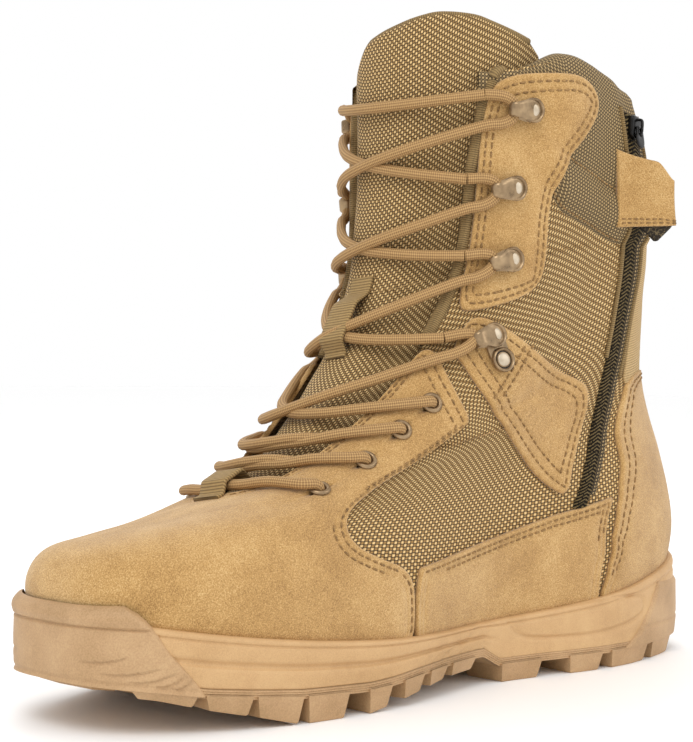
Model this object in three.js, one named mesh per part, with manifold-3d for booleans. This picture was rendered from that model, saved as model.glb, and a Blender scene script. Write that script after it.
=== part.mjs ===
// Combat boot for the right foot, standing empty on its sole.
// Millimetres, +Z up, floor at z = 0. The toe points to -X and the zip side, the medial side, faces -Y.
import * as THREE from "three";
import { mergeVertices } from "three/addons/utils/BufferGeometryUtils.js";
import Module from "manifold-3d";

const wasm = await Module();
wasm.setup();

// Sizes of the whole boot
const bootLength = 310; // tables along the boot are shares of this
const collarHeight = 234; // floor to the front of the collar
const ballWidth = 102; // the upper across the ball of the foot
const legWidth = 96; // the shaft across the middle of the leg
const heelWidth = 84; // the upper across the heel
const toeLean = 4; // the toe leans to the medial side by this much
const lateralFall = 6; // how much lower the instep lies on the lateral side

// The feather line, where the upper meets the rim of the sole
const featherToe = 35; // height at the toe
const featherHeel = 38; // height at the heel
const sideBow = 16; // how far it dips along both sides

// Upper
const wallThickness = 2.6;
const collarPadding = 5.5; // extra thickness of the padded collar, inwards
const collarPuff = 1.6; // how far the padded collar stands out
const frontDip = 10; // how far the collar's front corners come down
const throatStart = 0.415; // share of the way up the front where the lacing begins
const suedeThickness = 1.5; // every leather overlay
const seamGap = 0.3; // between two pieces that touch

// Sole
const cupDepth = 5; // how deep the upper sits in the cup of the midsole
const rimWidth = 4.4; // how far the rim stands out round the upper
const toeSpring = 14.5; // how far the toe's tread lifts off the floor
const lugDepth = 7.5; // height of the lugs under the ball
const outsoleBand = 3; // thickness of the outsole over its lugs
const bumperTop = 40.6; // top of the rubber toe bumper over the floor
const bumperThickness = 3.4;
const heelWrapTop = 30; // top of the rubber that climbs the back of the heel
const insoleThickness = 4;

// Tongue
const tongueThickness = 5;
const tongueRise = 11; // how far the tongue's crest stands over the collar's front
const tongueTuck = 9; // degrees that each side of it reaches under the eyestays

// Lacing hardware
const laceWidth = 4.1;
const eyeletHole = 4.2;
const eyeletFlange = 7.8;
const hookWidth = 6.4;
const hookLength = 12.5; // rivet's far edge to the nose
const hookPlate = 1; // sheet metal
const rivetWidth = 6.4;

// Zip
const zipWidth = 7; // across both rows of teeth and their cords
const zipTop = 0.93; // share of the height at which the slider stands
const sliderLength = 9;
const sliderThickness = 2.6;
const pullLength = 8.2;
const pullWidth = 6;
const pullThickness = 0.8; // also the bar that hangs in the slider's bridge
const garageReach = 15.4; // how far the flap over the zip's top stands off
const garageHeight = 33;

// Colours and finishes
const finish = (color, roughness, metalness = 0) =>
  new THREE.MeshStandardMaterial({ color, roughness, metalness });
const suede = finish(0xc49e62, 0.95);
const nylon = finish(0xa08a62, 0.85);
const rubber = finish(0xb8946a, 0.7);
const foamRubber = finish(0xae8c64, 0.75);
const lining = finish(0x6e5d43, 0.95);
const bronze = finish(0x9c8468, 0.4, 0.7);
const cord = finish(0xa9814f, 0.85);
const webbing = finish(0x94774a, 0.9);
const zipCord = finish(0x2b251d, 0.8);
const blackMetal = finish(0x1d1c1b, 0.4, 0.6);

const boot = new THREE.Group();

function place(name, geometry, material) {
  const mesh = new THREE.Mesh(geometry, material);
  mesh.name = name;
  boot.add(mesh);
  return mesh;
}

// Small maths
const lerp = (a, b, f) => a + (b - a) * f;
const clamp01 = (f) => Math.min(1, Math.max(0, f));
const degrees = (d) => (d * Math.PI) / 180;

function smooth(from, to, x) {
  const f = clamp01((x - from) / (to - from));
  return f * f * (3 - 2 * f);
}

// Straight lines through a table's rows, sorted by its first column
function tableValue(rows, key, column, at) {
  const last = rows.length - 1;
  if (at <= rows[0][key]) return rows[0][column];
  for (let i = 0; i < last; i++) {
    const [a, b] = [rows[i], rows[i + 1]];
    if (at <= b[key]) return lerp(a[column], b[column], (at - a[key]) / (b[key] - a[key]));
  }
  return rows[last][column];
}

function table(names, ...rows) {
  const keys = names.split(" ");
  return rows.map((row) => Object.fromEntries(row.map((value, i) => [keys[i], value])));
}

// The upper's outside: a row for each section, from the feather line to the collar.
// front, back: height over the feather line, share of the rise to the collar. bow: share of sideBow.
// toe, heel: place along the boot, share of bootLength. ball, waist, seat: half widths, share of
// ballWidth, legWidth and heelWidth. nose, rear: how square the ends are. lean: share of toeLean.
// outer: the lateral side's width, share of the medial one's. fall: share of lateralFall.
const upperSections = table(
  "front back bow toe heel ball waist seat nose rear lean outer fall",
  [0.000, 0.000, -1.00, -0.474, 0.487, 0.490, 0.395, 0.490, 0.66, 0.62, 1.00, 1.000, 0.0],
  [0.055, 0.075, -0.80, -0.477, 0.494, 0.500, 0.425, 0.510, 0.70, 0.64, 1.00, 0.985, 0.0],
  [0.100, 0.150, -0.55, -0.461, 0.487, 0.490, 0.440, 0.510, 0.76, 0.70, 1.00, 0.955, 0.4],
  [0.130, 0.225, -0.25, -0.416, 0.473, 0.460, 0.440, 0.500, 0.84, 0.80, 1.00, 0.925, 1.0],
  [0.150, 0.300, 0.00, -0.339, 0.454, 0.430, 0.440, 0.475, 0.92, 0.88, 0.75, 0.910, 1.0],
  [0.185, 0.375, 0.12, -0.258, 0.438, 0.420, 0.440, 0.475, 1.00, 0.95, 0.50, 0.910, 1.0],
  [0.250, 0.455, 0.19, -0.187, 0.430, 0.410, 0.440, 0.475, 1.00, 1.00, 0.25, 0.900, 1.0],
  [0.340, 0.530, 0.25, -0.123, 0.427, 0.400, 0.450, 0.475, 1.00, 1.00, 0.00, 0.885, 1.0],
  [0.445, 0.600, 0.31, -0.068, 0.422, 0.400, 0.450, 0.490, 1.00, 1.00, 0.00, 0.870, 0.9],
  [0.570, 0.670, 0.31, -0.032, 0.410, 0.410, 0.460, 0.500, 1.00, 1.00, 0.00, 0.865, 0.6],
  [0.710, 0.735, 0.37, -0.019, 0.390, 0.430, 0.480, 0.510, 1.00, 1.00, 0.00, 0.860, 0.3],
  [0.845, 0.790, 0.44, -0.016, 0.368, 0.440, 0.500, 0.510, 1.00, 1.00, 0.00, 0.860, 0.0],
  [1.000, 0.850, 0.50, -0.016, 0.345, 0.440, 0.500, 0.510, 1.00, 1.00, 0.00, 0.860, 0.0],
);
const sectionKeys = Object.keys(upperSections[0]);
const [ballStation, waistStation, seatStation] = [0.32, 0.57, 0.82];

// A smooth curve through the sections, carried on in a straight line over the collar
function sectionAt(t) {
  const last = upperSections.length - 1;
  const place01 = clamp01(t) * last;
  const i = Math.min(last - 1, Math.floor(place01));
  const f = place01 - i;
  const over = Math.max(0, t - 1) * last;
  const section = {};
  for (const key of sectionKeys) {
    const at = (n) => upperSections[n][key];
    const [b, c] = [at(i), at(i + 1)];
    const a = i > 0 ? at(i - 1) : 2 * b - c;
    const d = i < last - 1 ? at(i + 2) : 2 * c - b;
    const curve = 2 * b + (c - a) * f + (2 * a - 5 * b + 4 * c - d) * f * f + (3 * b - a - 3 * c + d) * f ** 3;
    section[key] = curve / 2 + over * (at(last) - at(last - 1));
  }
  return section;
}

// A point of the section at height share t. The angle is 0 at the toe, 180 at the heel and
// negative on the medial side.
function sectionPoint(t, angle) {
  const row = sectionAt(t);
  const along = (1 - Math.cos(degrees(angle))) / 2;
  const side = Math.abs(Math.sin(degrees(angle)));
  const squareness = (u) => lerp(row.nose, row.rear, smooth(0.3, 0.7, u));
  const fullness = (u, width) => width / (2 * Math.sqrt(u * (1 - u))) ** squareness(u);
  const ball = fullness(ballStation, row.ball * ballWidth);
  const waist = fullness(waistStation, row.waist * legWidth);
  const seat = fullness(seatStation, row.seat * heelWidth);
  const width = along < waistStation
    ? lerp(ball, waist, smooth(ballStation, waistStation, along))
    : lerp(waist, seat, smooth(waistStation, seatStation, along));
  const lean = row.lean * toeLean;
  const leanHere = -lean * (1 - smooth(0, 0.42, along))
    + 0.55 * lean * (smooth(0.1, 0.4, along) - smooth(0.4, 0.75, along));
  const front = featherToe + row.front * (collarHeight - featherToe);
  const back = featherHeel + row.back * (collarHeight - featherToe);
  const across = Math.sin(degrees(angle)) < 0 ? -width : width * row.outer;
  const turned = THREE.MathUtils.euclideanModulo(angle + 180, 360) - 180;
  const fallen = row.fall * lateralFall * smooth(-40, 40, turned) * (1 - smooth(80, 150, turned));
  return new THREE.Vector3(
    bootLength * lerp(row.toe, row.heel, along),
    leanHere + across * Math.max(side, 1e-9) ** squareness(along),
    lerp(front, back, along) + row.bow * sideBow * side * side - fallen,
  );
}

function outwardNormal(t, angle) {
  const [dt, da] = [0.004, 0.5];
  const low = Math.max(0, t - dt);
  const up = sectionPoint(low + 2 * dt, angle).sub(sectionPoint(low, angle));
  const round = sectionPoint(t, angle + da).sub(sectionPoint(t, angle - da));
  return up.cross(round).normalize();
}

// The upper's outside, moved out by a clearance or a thickness
function upperPoint(t, angle, out = 0) {
  return sectionPoint(t, angle).addScaledVector(outwardNormal(t, angle), out);
}

// The sole's outline: the feather line moved level, outwards
function soleOutline(angle, out) {
  const step = 0.5;
  const round = sectionPoint(0, angle + step).sub(sectionPoint(0, angle - step)).setZ(0).normalize();
  return sectionPoint(0, angle).add(new THREE.Vector3(-round.y * out, round.x * out, 0));
}
const featherHeight = (angle) => sectionPoint(0, angle).z;

// The angle on the sole's outline at a place along the boot
function outlineAngle(x) {
  const { toe, heel } = upperSections[0];
  const along = clamp01((x / bootLength - toe) / (heel - toe));
  return THREE.MathUtils.radToDeg(Math.acos(1 - 2 * along));
}

// Closed bodies from grids of points
function solid(points, faces) {
  const geometry = new THREE.BufferGeometry();
  geometry.setAttribute("position", new THREE.Float32BufferAttribute(points.flatMap((p) => [p.x, p.y, p.z]), 3));
  geometry.setIndex(faces.flat());
  return facingOut(geometry);
}

function facingOut(geometry) {
  const [position, index] = [geometry.attributes.position, geometry.index];
  const corner = (i) => new THREE.Vector3().fromBufferAttribute(position, index.getX(i));
  let volume = 0;
  for (let i = 0; i < index.count; i += 3) volume += corner(i).dot(corner(i + 1).cross(corner(i + 2)));
  if (volume < 0) {
    for (let i = 0; i < index.count; i += 3) {
      const first = index.getX(i);
      index.setX(i, index.getX(i + 2));
      index.setX(i + 2, first);
    }
  }
  return geometry;
}

const quad = (a, b, c, d) => [[a, b, c], [a, c, d]];

// Rings of equal length, skinned from the first to the last. The ends are closed by straps from
// side to side, or the last ring joins the first.
function loft(rings, endless = false) {
  const count = rings[0].length;
  const at = (ring, i) => (ring % rings.length) * count + ((i + count) % count);
  const faces = [];
  for (let ring = 0; ring < rings.length - (endless ? 0 : 1); ring++) {
    for (let i = 0; i < count; i++) {
      faces.push(...quad(at(ring, i), at(ring, i + 1), at(ring + 1, i + 1), at(ring + 1, i)));
    }
  }
  if (!endless) {
    faces.push(...straps((i) => at(0, i), count).map(([a, b, c]) => [a, c, b]));
    faces.push(...straps((i) => at(rings.length - 1, i), count));
  }
  return solid(rings.flat(), faces);
}

// Triangles across a ring that starts at the heel and runs round the toe, even by even
function straps(at, count) {
  const faces = [[at(0), at(1), at(count - 1)]];
  for (let i = 1; i < count / 2 - 1; i++) {
    faces.push([at(i), at(i + 1), at(count - i)], [at(i + 1), at(count - i - 1), at(count - i)]);
  }
  faces.push([at(count / 2 - 1), at(count / 2), at(count / 2 + 1)]);
  return faces;
}

// A sheet of two grids of points, lower and upper face, closed round its edge
function sheet(lower, upper) {
  const [rows, columns] = [lower.length, lower[0].length];
  const low = (i, j) => i * columns + j;
  const high = (i, j) => rows * columns + i * columns + j;
  const faces = [];
  for (let i = 0; i < rows - 1; i++) {
    for (let j = 0; j < columns - 1; j++) {
      faces.push(...quad(low(i, j), low(i + 1, j), low(i + 1, j + 1), low(i, j + 1)));
      faces.push(...quad(high(i, j), high(i, j + 1), high(i + 1, j + 1), high(i + 1, j)));
    }
    faces.push(...quad(low(i, 0), high(i, 0), high(i + 1, 0), low(i + 1, 0)));
    faces.push(...quad(low(i, columns - 1), low(i + 1, columns - 1), high(i + 1, columns - 1), high(i, columns - 1)));
  }
  for (let j = 0; j < columns - 1; j++) {
    faces.push(...quad(low(0, j), low(0, j + 1), high(0, j + 1), high(0, j)));
    faces.push(...quad(low(rows - 1, j), high(rows - 1, j), high(rows - 1, j + 1), low(rows - 1, j + 1)));
  }
  return solid([...lower.flat(), ...upper.flat()], faces);
}

// Booleans
function manifold(geometry) {
  const bare = new THREE.BufferGeometry();
  bare.setAttribute("position", geometry.attributes.position);
  if (geometry.index) bare.setIndex(geometry.index);
  const merged = mergeVertices(bare, 1e-4);
  return new wasm.Manifold(new wasm.Mesh({
    numProp: 3,
    vertProperties: new Float32Array(merged.attributes.position.array),
    triVerts: new Uint32Array(merged.index.array),
  }));
}

function geometryOf(body) {
  const mesh = body.getMesh();
  const geometry = new THREE.BufferGeometry();
  geometry.setAttribute("position", new THREE.BufferAttribute(new Float32Array(mesh.vertProperties), 3));
  geometry.setIndex(new THREE.BufferAttribute(new Uint32Array(mesh.triVerts), 1));
  return geometry;
}

const joined = (bodies) => bodies.reduce((sum, body) => sum.add(body));

// The stations round every ring, half of them: closer together at the breast of the heel
const halfStations = [0, 9, 20, 32, 45, 58, 71, 83, 93, 98, 110, 122, 136, 150, 165, 180];
const stations = [
  ...halfStations.slice(1).reverse().map((a) => -a),
  ...halfStations.slice(0, -1),
];
const ringOf = (pointAt) => stations.map(pointAt);

// Upper: one hollow wall, open at the collar, at the throat and underneath
const heights = [0, 0.045, 0.1, 0.18, 0.265, 0.35, 0.43, 0.52, 0.62, 0.74, 0.87, 1];
const collarStart = 0.72;

// How much of the collar's padding is there: the back and the sides, near the top
const padded = (t, angle) => smooth(collarStart, collarStart + 0.1, t) * smooth(62, 84, Math.abs(angle));
const outsideOf = (t, angle) => collarPuff * padded(t, angle);
const insideOf = (t, angle) => -wallThickness - collarPadding * padded(t, angle);
const bottomTuck = 1; // the wall draws in under the feather line

function upperBottom(angle, out) {
  return soleOutline(angle, out - bottomTuck).setZ(featherHeight(angle) - cupDepth);
}

// The lacing's opening: half its width in degrees at each share of the height
const throatEdge = table(
  "t half",
  [throatStart, 17], [0.435, 23], [0.468, 27], [0.55, 35], [0.625, 40],
  [0.73, 44], [0.85, 44], [0.945, 48], [1, 54], [1.12, 60],
);
const throatHalf = (t) => tableValue(throatEdge, "t", "half", t);

// A sheet between two depths of the upper, a row for each height or for each angle
function patch(rows, depths, columns, across = false) {
  const face = (out) => rows.map((row) => {
    const [at, from, to] = row;
    return Array.from({ length: columns + 1 }, (_, j) => {
      const other = lerp(from, to, j / columns);
      return across ? upperPoint(other, at, out) : upperPoint(at, other, out);
    });
  });
  return sheet(face(depths[0]), face(depths[1]));
}

const cutReach = 14; // a cutter reaches this far to both sides of the wall
const throatCutter = manifold(patch(
  throatEdge.map(({ t, half }) => [t, -half, half]), [-cutReach, cutReach], 10,
));

// Eyelets and hooks on the medial side: height share and angle. The lateral side mirrors them.
const eyeletPlaces = table("t angle", [0.362, 43.8], [0.43, 47.2], [0.485, 50.5], [0.525, 55]);
const lockHookPlace = { t: 0.618, angle: 64 };
const speedHookPlaces = table("t angle", [0.733, 61], [0.823, 58.8], [0.92, 64.5]);
const sides = [["medial", -1], ["lateral", 1]];

// A frame on the upper's surface: x to the throat, z outwards
function frameOn(t, angle, out, turn = 0) {
  const normal = outwardNormal(t, angle);
  const step = -Math.sign(angle);
  const toThroat = sectionPoint(t, angle + step).sub(sectionPoint(t, angle)).projectOnPlane(normal).normalize();
  toThroat.applyAxisAngle(normal, turn);
  const across = new THREE.Vector3().crossVectors(normal, toThroat);
  return new THREE.Matrix4().makeBasis(toThroat, across, normal).setPosition(upperPoint(t, angle, out));
}

const round = (profile, segments) =>
  new THREE.LatheGeometry(profile.map(([r, z]) => new THREE.Vector2(r, z)), segments).rotateX(Math.PI / 2);

const eyeletSegments = 8;
const barrelWall = 0.6;
const holeRadius = eyeletHole / 2 + barrelWall + seamGap;
const holeCutter = manifold(round([[0, -cutReach], [holeRadius, -cutReach], [holeRadius, cutReach], [0, cutReach]], eyeletSegments));
const eyeletHoles = joined(eyeletPlaces.flatMap(({ t, angle }) => sides.map(([, side]) => {
  return holeCutter.transform(frameOn(t, side * angle, 0).elements);
})));

// The height share of a place under the collar's edge, which dips towards its front corners
const growth = 1.86 * (collarHeight - featherToe); // height over a whole share near the collar
function brim(t, angle) {
  const turned = Math.abs(THREE.MathUtils.euclideanModulo(angle + 180, 360) - 180);
  return t - (frontDip / growth) * smooth(0.85, 1, t) * (1 - smooth(50, 92, turned));
}

function upperWall() {
  const lipRise = 0.012; // the collar's edge is rolled over
  const rings = [
    ringOf((a) => upperBottom(a, 0)),
    ...heights.map((t) => ringOf((a) => upperPoint(brim(t, a), a, outsideOf(t, a)))),
    ringOf((a) => upperPoint(brim(1, a) + lipRise, a, lerp(outsideOf(1, a), insideOf(1, a), 0.5))),
    ...heights.toReversed().map((t) => ringOf((a) => upperPoint(brim(t, a), a, insideOf(t, a)))),
    ringOf((a) => upperBottom(a, -wallThickness)),
  ];
  return manifold(loft(rings, true)).subtract(throatCutter).subtract(eyeletHoles);
}
place("upper", geometryOf(upperWall()), nylon);

// Overlays, cut between two larger forms of the upper
function bandBetween(inner, outer) {
  const form = (out) => manifold(loft(heights.map((t) => ringOf((a) => upperPoint(t, a, outsideOf(t, a) + out)))));
  return form(outer).subtract(form(inner));
}
const overlayBand = bandBetween(seamGap, seamGap + suedeThickness);
const overlayTop = seamGap + suedeThickness;
const rimShare = 0.01; // the rim of the sole ends at this share of the height
const overlayStart = 0.02;

const mirrored = (rows) => rows.map(([at, from, to]) => [at, -to, -from]);
const cutterOf = (rows, columns = 3) => manifold(patch(rows, [-cutReach / 3, cutReach], columns));
const cutterAcross = (rows, columns = 2) => manifold(patch(rows, [-cutReach / 3, cutReach], columns, true));

// The vamp: toe and both eyestays in one piece of suede. Each row is a height share and the angles
// of the two edges.
const vampEdge = [
  [overlayStart, 77], [0.08, 76.8], [0.135, 75], [0.165, 68], [0.195, 62.8], [0.25, 59.3], [0.343, 59.8], [0.4, 64],
];
const vampBody = vampEdge.map(([t, half]) => [t, -half, half]);
const eyestay = [
  [0.395, -63.5, -10], [0.44, -68.5, -10], [0.458, -72, -10], [0.5, -66.5, -10], [0.57, -55.2, -10], [0.61, -47.5, -10], [0.628, -42.5, -10],
];
const vampTopEdge = [[0.39, -66, 66], [throatStart + 0.001, -66, 66]];
const vampCutter = joined([
  cutterOf(vampBody, 10),
  cutterOf(vampTopEdge, 8),
  cutterOf(eyestay, 3),
  cutterOf(mirrored(eyestay), 3),
]);
place("vamp", geometryOf(overlayBand.intersect(vampCutter).subtract(throatCutter).subtract(eyeletHoles)), suede);

// The strip of suede along the sole, from the vamp to the heel counter
const counterFront = 120; // degrees
const stripEdge = [[77.6, 0.138], [96, 0.168], [108, 0.19], [counterFront - 0.6, 0.2]];

// Ankle straps, a column for each angle with the heights of both edges
const ankleStrap = [
  [52.5, 0.612, 0.655], [57, 0.592, 0.658], [69, 0.525, 0.622], [82, 0.44, 0.57], [96, 0.33, 0.51],
  [105, 0.255, 0.475], [110.5, 0.214, 0.446],
];

// The panels that carry the speed hooks
const hookPanel = [
  [0.668, -72, -51], [0.69, -76.5, -47], [0.73, -75.5, -40], [0.785, -73.5, -40], [0.835, -77, -40],
  [0.863, -81.2, -40], [0.9, -89, -40], [0.94, -94.8, -40], [0.96, -94, -51], [0.975, -88, -58],
];
for (const [side, sign] of sides) {
  const across = (rows) => rows.map(([at, from, to]) => [sign * at, from, to]);
  const down = sign < 0 ? hookPanel : mirrored(hookPanel);
  const strip = stripEdge.map(([angle, top]) => [angle, overlayStart, top]);
  place(`side_strip_${side}`, geometryOf(overlayBand.intersect(cutterAcross(across(strip)))), suede);
  place(`ankle_strap_${side}`, geometryOf(overlayBand.intersect(cutterAcross(across(ankleStrap))).subtract(throatCutter)), suede);
  place(`hook_panel_${side}`, geometryOf(overlayBand.intersect(cutterOf(down, 3)).subtract(throatCutter)), suede);
}

// Heel counter, round the back of the heel
const counter = [
  [overlayStart, counterFront, 360 - counterFront], [0.1, counterFront, 360 - counterFront],
  [0.2, 123, 237], [0.3, 124.2, 235.8], [0.4, 125.6, 234.4], [0.44, 127, 233],
];
place("heel_counter", geometryOf(overlayBand.intersect(cutterOf(counter, 6))), suede);

// Sole
// Along the boot: the tread's lowest line (share of toeSpring), the outsole's underside over it
// (share of lugDepth). x is a share of bootLength.
const treadLine = table(
  "x ground lugs",
  [-0.5, 1, 0.25], [-0.43, 0.78, 0.3], [-0.383, 0.52, 0.5], [-0.33, 0.28, 0.75], [-0.275, 0, 1.1],
  [-0.18, 0, 1], [-0.15, 0.12, 0.85], [-0.1, 0.28, 0.72], [-0.045, 0.43, 0.55], [0.018, 0.48, 0.48],
  [0.04, 0.48, 0.48], [0.071, 0, 0.8], [0.435, 0, 0.8], [0.5, 0.2, 0.8],
);
const groundAt = (x) => toeSpring * tableValue(treadLine, "x", "ground", x / bootLength);
const undersideAt = (x) => groundAt(x) + lugDepth * tableValue(treadLine, "x", "lugs", x / bootLength);
const lineAt = (x) => undersideAt(x) + outsoleBand; // where the midsole sits on the outsole
const standsOut = (angle, share) => soleOutline(angle, rimWidth * share);
const atHeight = (point, heightOf) => point.setZ(heightOf(point.x));

const rimTop = (angle) => sectionPoint(rimShare, angle).z;

// The side of the midsole from the outsole up: share of its height, share of rimWidth. It has a
// long groove under a rolled rim.
const midsoleSide = table("up out", [0, 1], [0.36, 1.06], [0.45, 0.82], [0.56, 1], [0.88, 0.98], [1, 0.72]);
function midsoleBody() {
  const side = midsoleSide.map(({ up, out }) => ringOf((angle) => {
    const point = standsOut(angle, out);
    return point.setZ(lerp(lineAt(point.x) + seamGap, rimTop(angle), up));
  }));
  const cup = [
    ringOf((angle) => upperPoint(rimShare, angle, seamGap + 0.1)),
    ringOf((angle) => upperBottom(angle, seamGap + 0.1).add(new THREE.Vector3(0, 0, -seamGap))),
  ];
  return manifold(loft([...side, ...cup]));
}

// Rubber that climbs the midsole round the toe or the heel. Each row is a share of the climb and
// half the angle that it covers there, with its thickness as a share.
function climbingRubber(rows, centre, top, inner, thickness, columns) {
  const face = (depth) => rows.map(({ up, half, out }) => Array.from({ length: columns + 1 }, (_, j) => {
    const angle = centre + lerp(-half, half, j / columns);
    const start = undersideAt(sectionPoint(0, angle).x) + outsoleBand / 4;
    const height = lerp(start, top, up);
    const distance = inner + depth * thickness * out;
    const feather = featherHeight(angle);
    if (height <= feather) return soleOutline(angle, distance).setZ(height);
    return upperPoint(shareAtHeight(angle, height), angle, distance);
  }));
  return manifold(sheet(face(0), face(1)));
}

// The height share at which the upper reaches a height over the floor
function shareAtHeight(angle, height) {
  let [low, high] = [0, 0.3];
  for (let i = 0; i < 24; i++) {
    const middle = (low + high) / 2;
    if (sectionPoint(middle, angle).z < height) low = middle;
    else high = middle;
  }
  return low;
}
const bumperInner = overlayTop + 2 * seamGap;
const bumperRows = table(
  "up half out",
  [0, 36.5, 0.95], [0.2, 33.5, 1], [0.45, 29, 1], [0.72, 25.5, 1.05], [0.82, 24, 1.3], [1, 19, 0.8],
);
const heelWrapRows = table("up half out", [0, 55, 0.9], [0.25, 50, 1.05], [0.6, 45, 1], [0.9, 42, 0.95], [1, 40, 0.6]);
const grown = (rows, degreesMore) => rows.map(({ up, half, out }) => ({ up, half: half + degreesMore, out }));
const bumper = climbingRubber(bumperRows, 0, bumperTop, bumperInner, bumperThickness, 10);
const heelWrap = climbingRubber(heelWrapRows, 180, heelWrapTop, bumperInner, bumperThickness, 8);
const seat = [
  climbingRubber(grown(bumperRows, 0.7), 0, bumperTop + 1, bumperInner - seamGap, cutReach, 10),
  climbingRubber(grown(heelWrapRows, 0.7), 180, heelWrapTop + seamGap, bumperInner - seamGap, cutReach, 8),
];
place("midsole", geometryOf(midsoleBody().subtract(joined(seat))), foamRubber);

// Lugs along both edges: where each starts and ends, share of bootLength
const edgeLugs = table(
  "from to", [-0.445, -0.39], [-0.383, -0.334], [-0.329, -0.274], [-0.268, -0.213], [-0.184, -0.151],
  [-0.131, -0.095], [-0.082, -0.046], [-0.034, 0.018], [0.073, 0.141], [0.186, 0.241], [0.258, 0.34], [0.355, 0.42],
);
// Lugs along the middle: both ends and half the width, shares of bootLength
const middleLugs = table(
  "from to half", [-0.46, -0.42, 0.05], [-0.38, -0.33, 0.04], [-0.3, -0.24, 0.05], [-0.21, -0.15, 0.048],
  [0.1, 0.17, 0.03], [0.24, 0.31, 0.035], [0.42, 0.465, 0.07],
);
const lugReach = 19; // from the outline inwards
const lugsOut = 0.8; // how far the lugs stand out past the rim
const lugDraft = 1.3; // how much narrower a lug is at the floor

function lugBody(corners) {
  const level = (draft, heightOf) => corners(draft).map((point) => atHeight(point, heightOf));
  const rings = [level(lugDraft, groundAt), level(0, (x) => undersideAt(x) + outsoleBand / 3)];
  const count = rings[0].length;
  const faces = [];
  for (let i = 0; i < count; i++) faces.push(...quad(i, (i + 1) % count, count + ((i + 1) % count), count + i));
  for (let i = 1; i < count - 1; i++) faces.push([0, i + 1, i], [count, count + i, count + i + 1]);
  return manifold(solid(rings.flat(), faces));
}

function edgeLug({ from, to }, sign) {
  return lugBody((draft) => {
    const [x0, x1] = [bootLength * from + draft, bootLength * to - draft];
    const outer = [x0, x1].map((x) => soleOutline(sign * outlineAngle(x), rimWidth + lugsOut - draft));
    const inner = [x1, x0].map((x) => soleOutline(sign * outlineAngle(x), rimWidth - lugReach + draft));
    return [...outer, ...inner];
  });
}

function middleLug({ from, to, half }) {
  return lugBody((draft) => {
    const [x0, x1, y] = [bootLength * from + draft, bootLength * to - draft, bootLength * half - draft];
    const slant = (x1 - x0) / 4;
    return [[x0 - slant, 0], [x0, -y], [x1, -y], [x1 - slant, 0], [x1, y], [x0, y]]
      .map(([px, py]) => new THREE.Vector3(px, py, 0));
  });
}

const outsoleSlab = manifold(loft([
  ringOf((angle) => atHeight(standsOut(angle, 0.95), undersideAt)),
  ringOf((angle) => atHeight(standsOut(angle, 1.05), lineAt)),
]));
const lugs = [
  ...edgeLugs.flatMap((lug) => sides.map(([, sign]) => edgeLug(lug, sign))),
  ...middleLugs.map(middleLug),
];
place("outsole", geometryOf(joined([outsoleSlab, bumper, heelWrap, ...lugs])), rubber);

// Insole, lying in the upper on the cup of the midsole
const insoleEdge = wallThickness + bottomTuck + 2 * seamGap;
place("insole", loft([0, insoleThickness].map((up) => ringOf((angle) =>
  soleOutline(angle, -insoleEdge).setZ(featherHeight(angle) - cupDepth + up)))), lining);

// Tongue, under the eyestays at its sides and bulging out between them
const tongueLine = table(
  "t bulge", [throatStart - 0.05, 0], [throatStart, 0], [0.44, 0.25], [0.5, 0.7], [0.56, 0.85], [0.62, 1], [0.68, 1], [0.75, 1],
  [0.85, 1], [0.93, 1], [1, 1], [1 + 0.42 * tongueRise / (collarHeight - featherToe), 0.9],
);
const tongueBulge = 3.8; // from under the wall to its own outside in the middle
const tongueColumns = 12;
const tongueUnder = -wallThickness - 3.6 * seamGap;
const tongueTop = tongueLine[tongueLine.length - 1].t;
const crestLine = table( // how far the crest comes down to its sides
  "angle drop", [-80, 13], [-72, 6.5], [-62, 5], [-45, 0.5], [-30, 0], [-20, 2], [0, 7], [10, 10], [18, 17], [30, 24], [63, 27],
);
const crestHeight = (t, angle) => t
  - clamp01((t - 0.85) / (tongueTop - 0.85)) * tableValue(crestLine, "angle", "drop", angle) / growth;
const crestWing = 16; // degrees that the crest's medial end reaches on, inside the collar
function tongueFace(depth) {
  return tongueLine.map(({ t, bulge }) => {
    const half = throatHalf(t) + tongueTuck * (1 - 0.25 * smooth(0.9, 1, t));
    const wing = crestWing * smooth(0.96, 1.01, t);
    return Array.from({ length: tongueColumns + 1 }, (_, j) => {
      const angle = lerp(-half - wing, half, j / tongueColumns);
      const free = 1 - smooth(0.25, 0.75, Math.abs(angle) / throatHalf(t));
      const thin = 1 - 0.6 * smooth(0.6, 1, Math.abs(angle) / half);
      const tuckedIn = collarPadding * smooth(-56, -84, angle);
      return upperPoint(crestHeight(t, angle), angle, tongueUnder - tuckedIn + tongueBulge * bulge * free - depth * thin);
    });
  });
}
place("tongue", sheet(tongueFace(tongueThickness), tongueFace(0)), nylon);

// Eyelets: a flange on the suede and a barrel through it and the wall
const flatLift = 2.4 * seamGap; // what is flat stands off a curved panel
const eyeletBarrel = wallThickness + suedeThickness + 3 * seamGap;
const eyeletLip = 0.9; // height of the rolled flange
const eyeletShape = round([
  [eyeletHole / 2, -eyeletBarrel], [eyeletHole / 2 + barrelWall, -eyeletBarrel], [eyeletHole / 2 + barrelWall, 0],
  [eyeletFlange / 2, 0], [eyeletFlange / 2 - barrelWall, eyeletLip], [eyeletHole / 2, eyeletLip],
  [eyeletHole / 2, -eyeletBarrel],
], eyeletSegments);

function placeOn(name, geometry, material, frame) {
  const mesh = place(name, geometry, material);
  mesh.applyMatrix4(frame);
  return mesh;
}

for (const [side, sign] of sides) {
  eyeletPlaces.forEach(({ t, angle }, i) => {
    placeOn(`eyelet_${side}_${i + 1}`, eyeletShape, bronze, frameOn(t, sign * angle, overlayTop + flatLift));
  });
}

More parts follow.
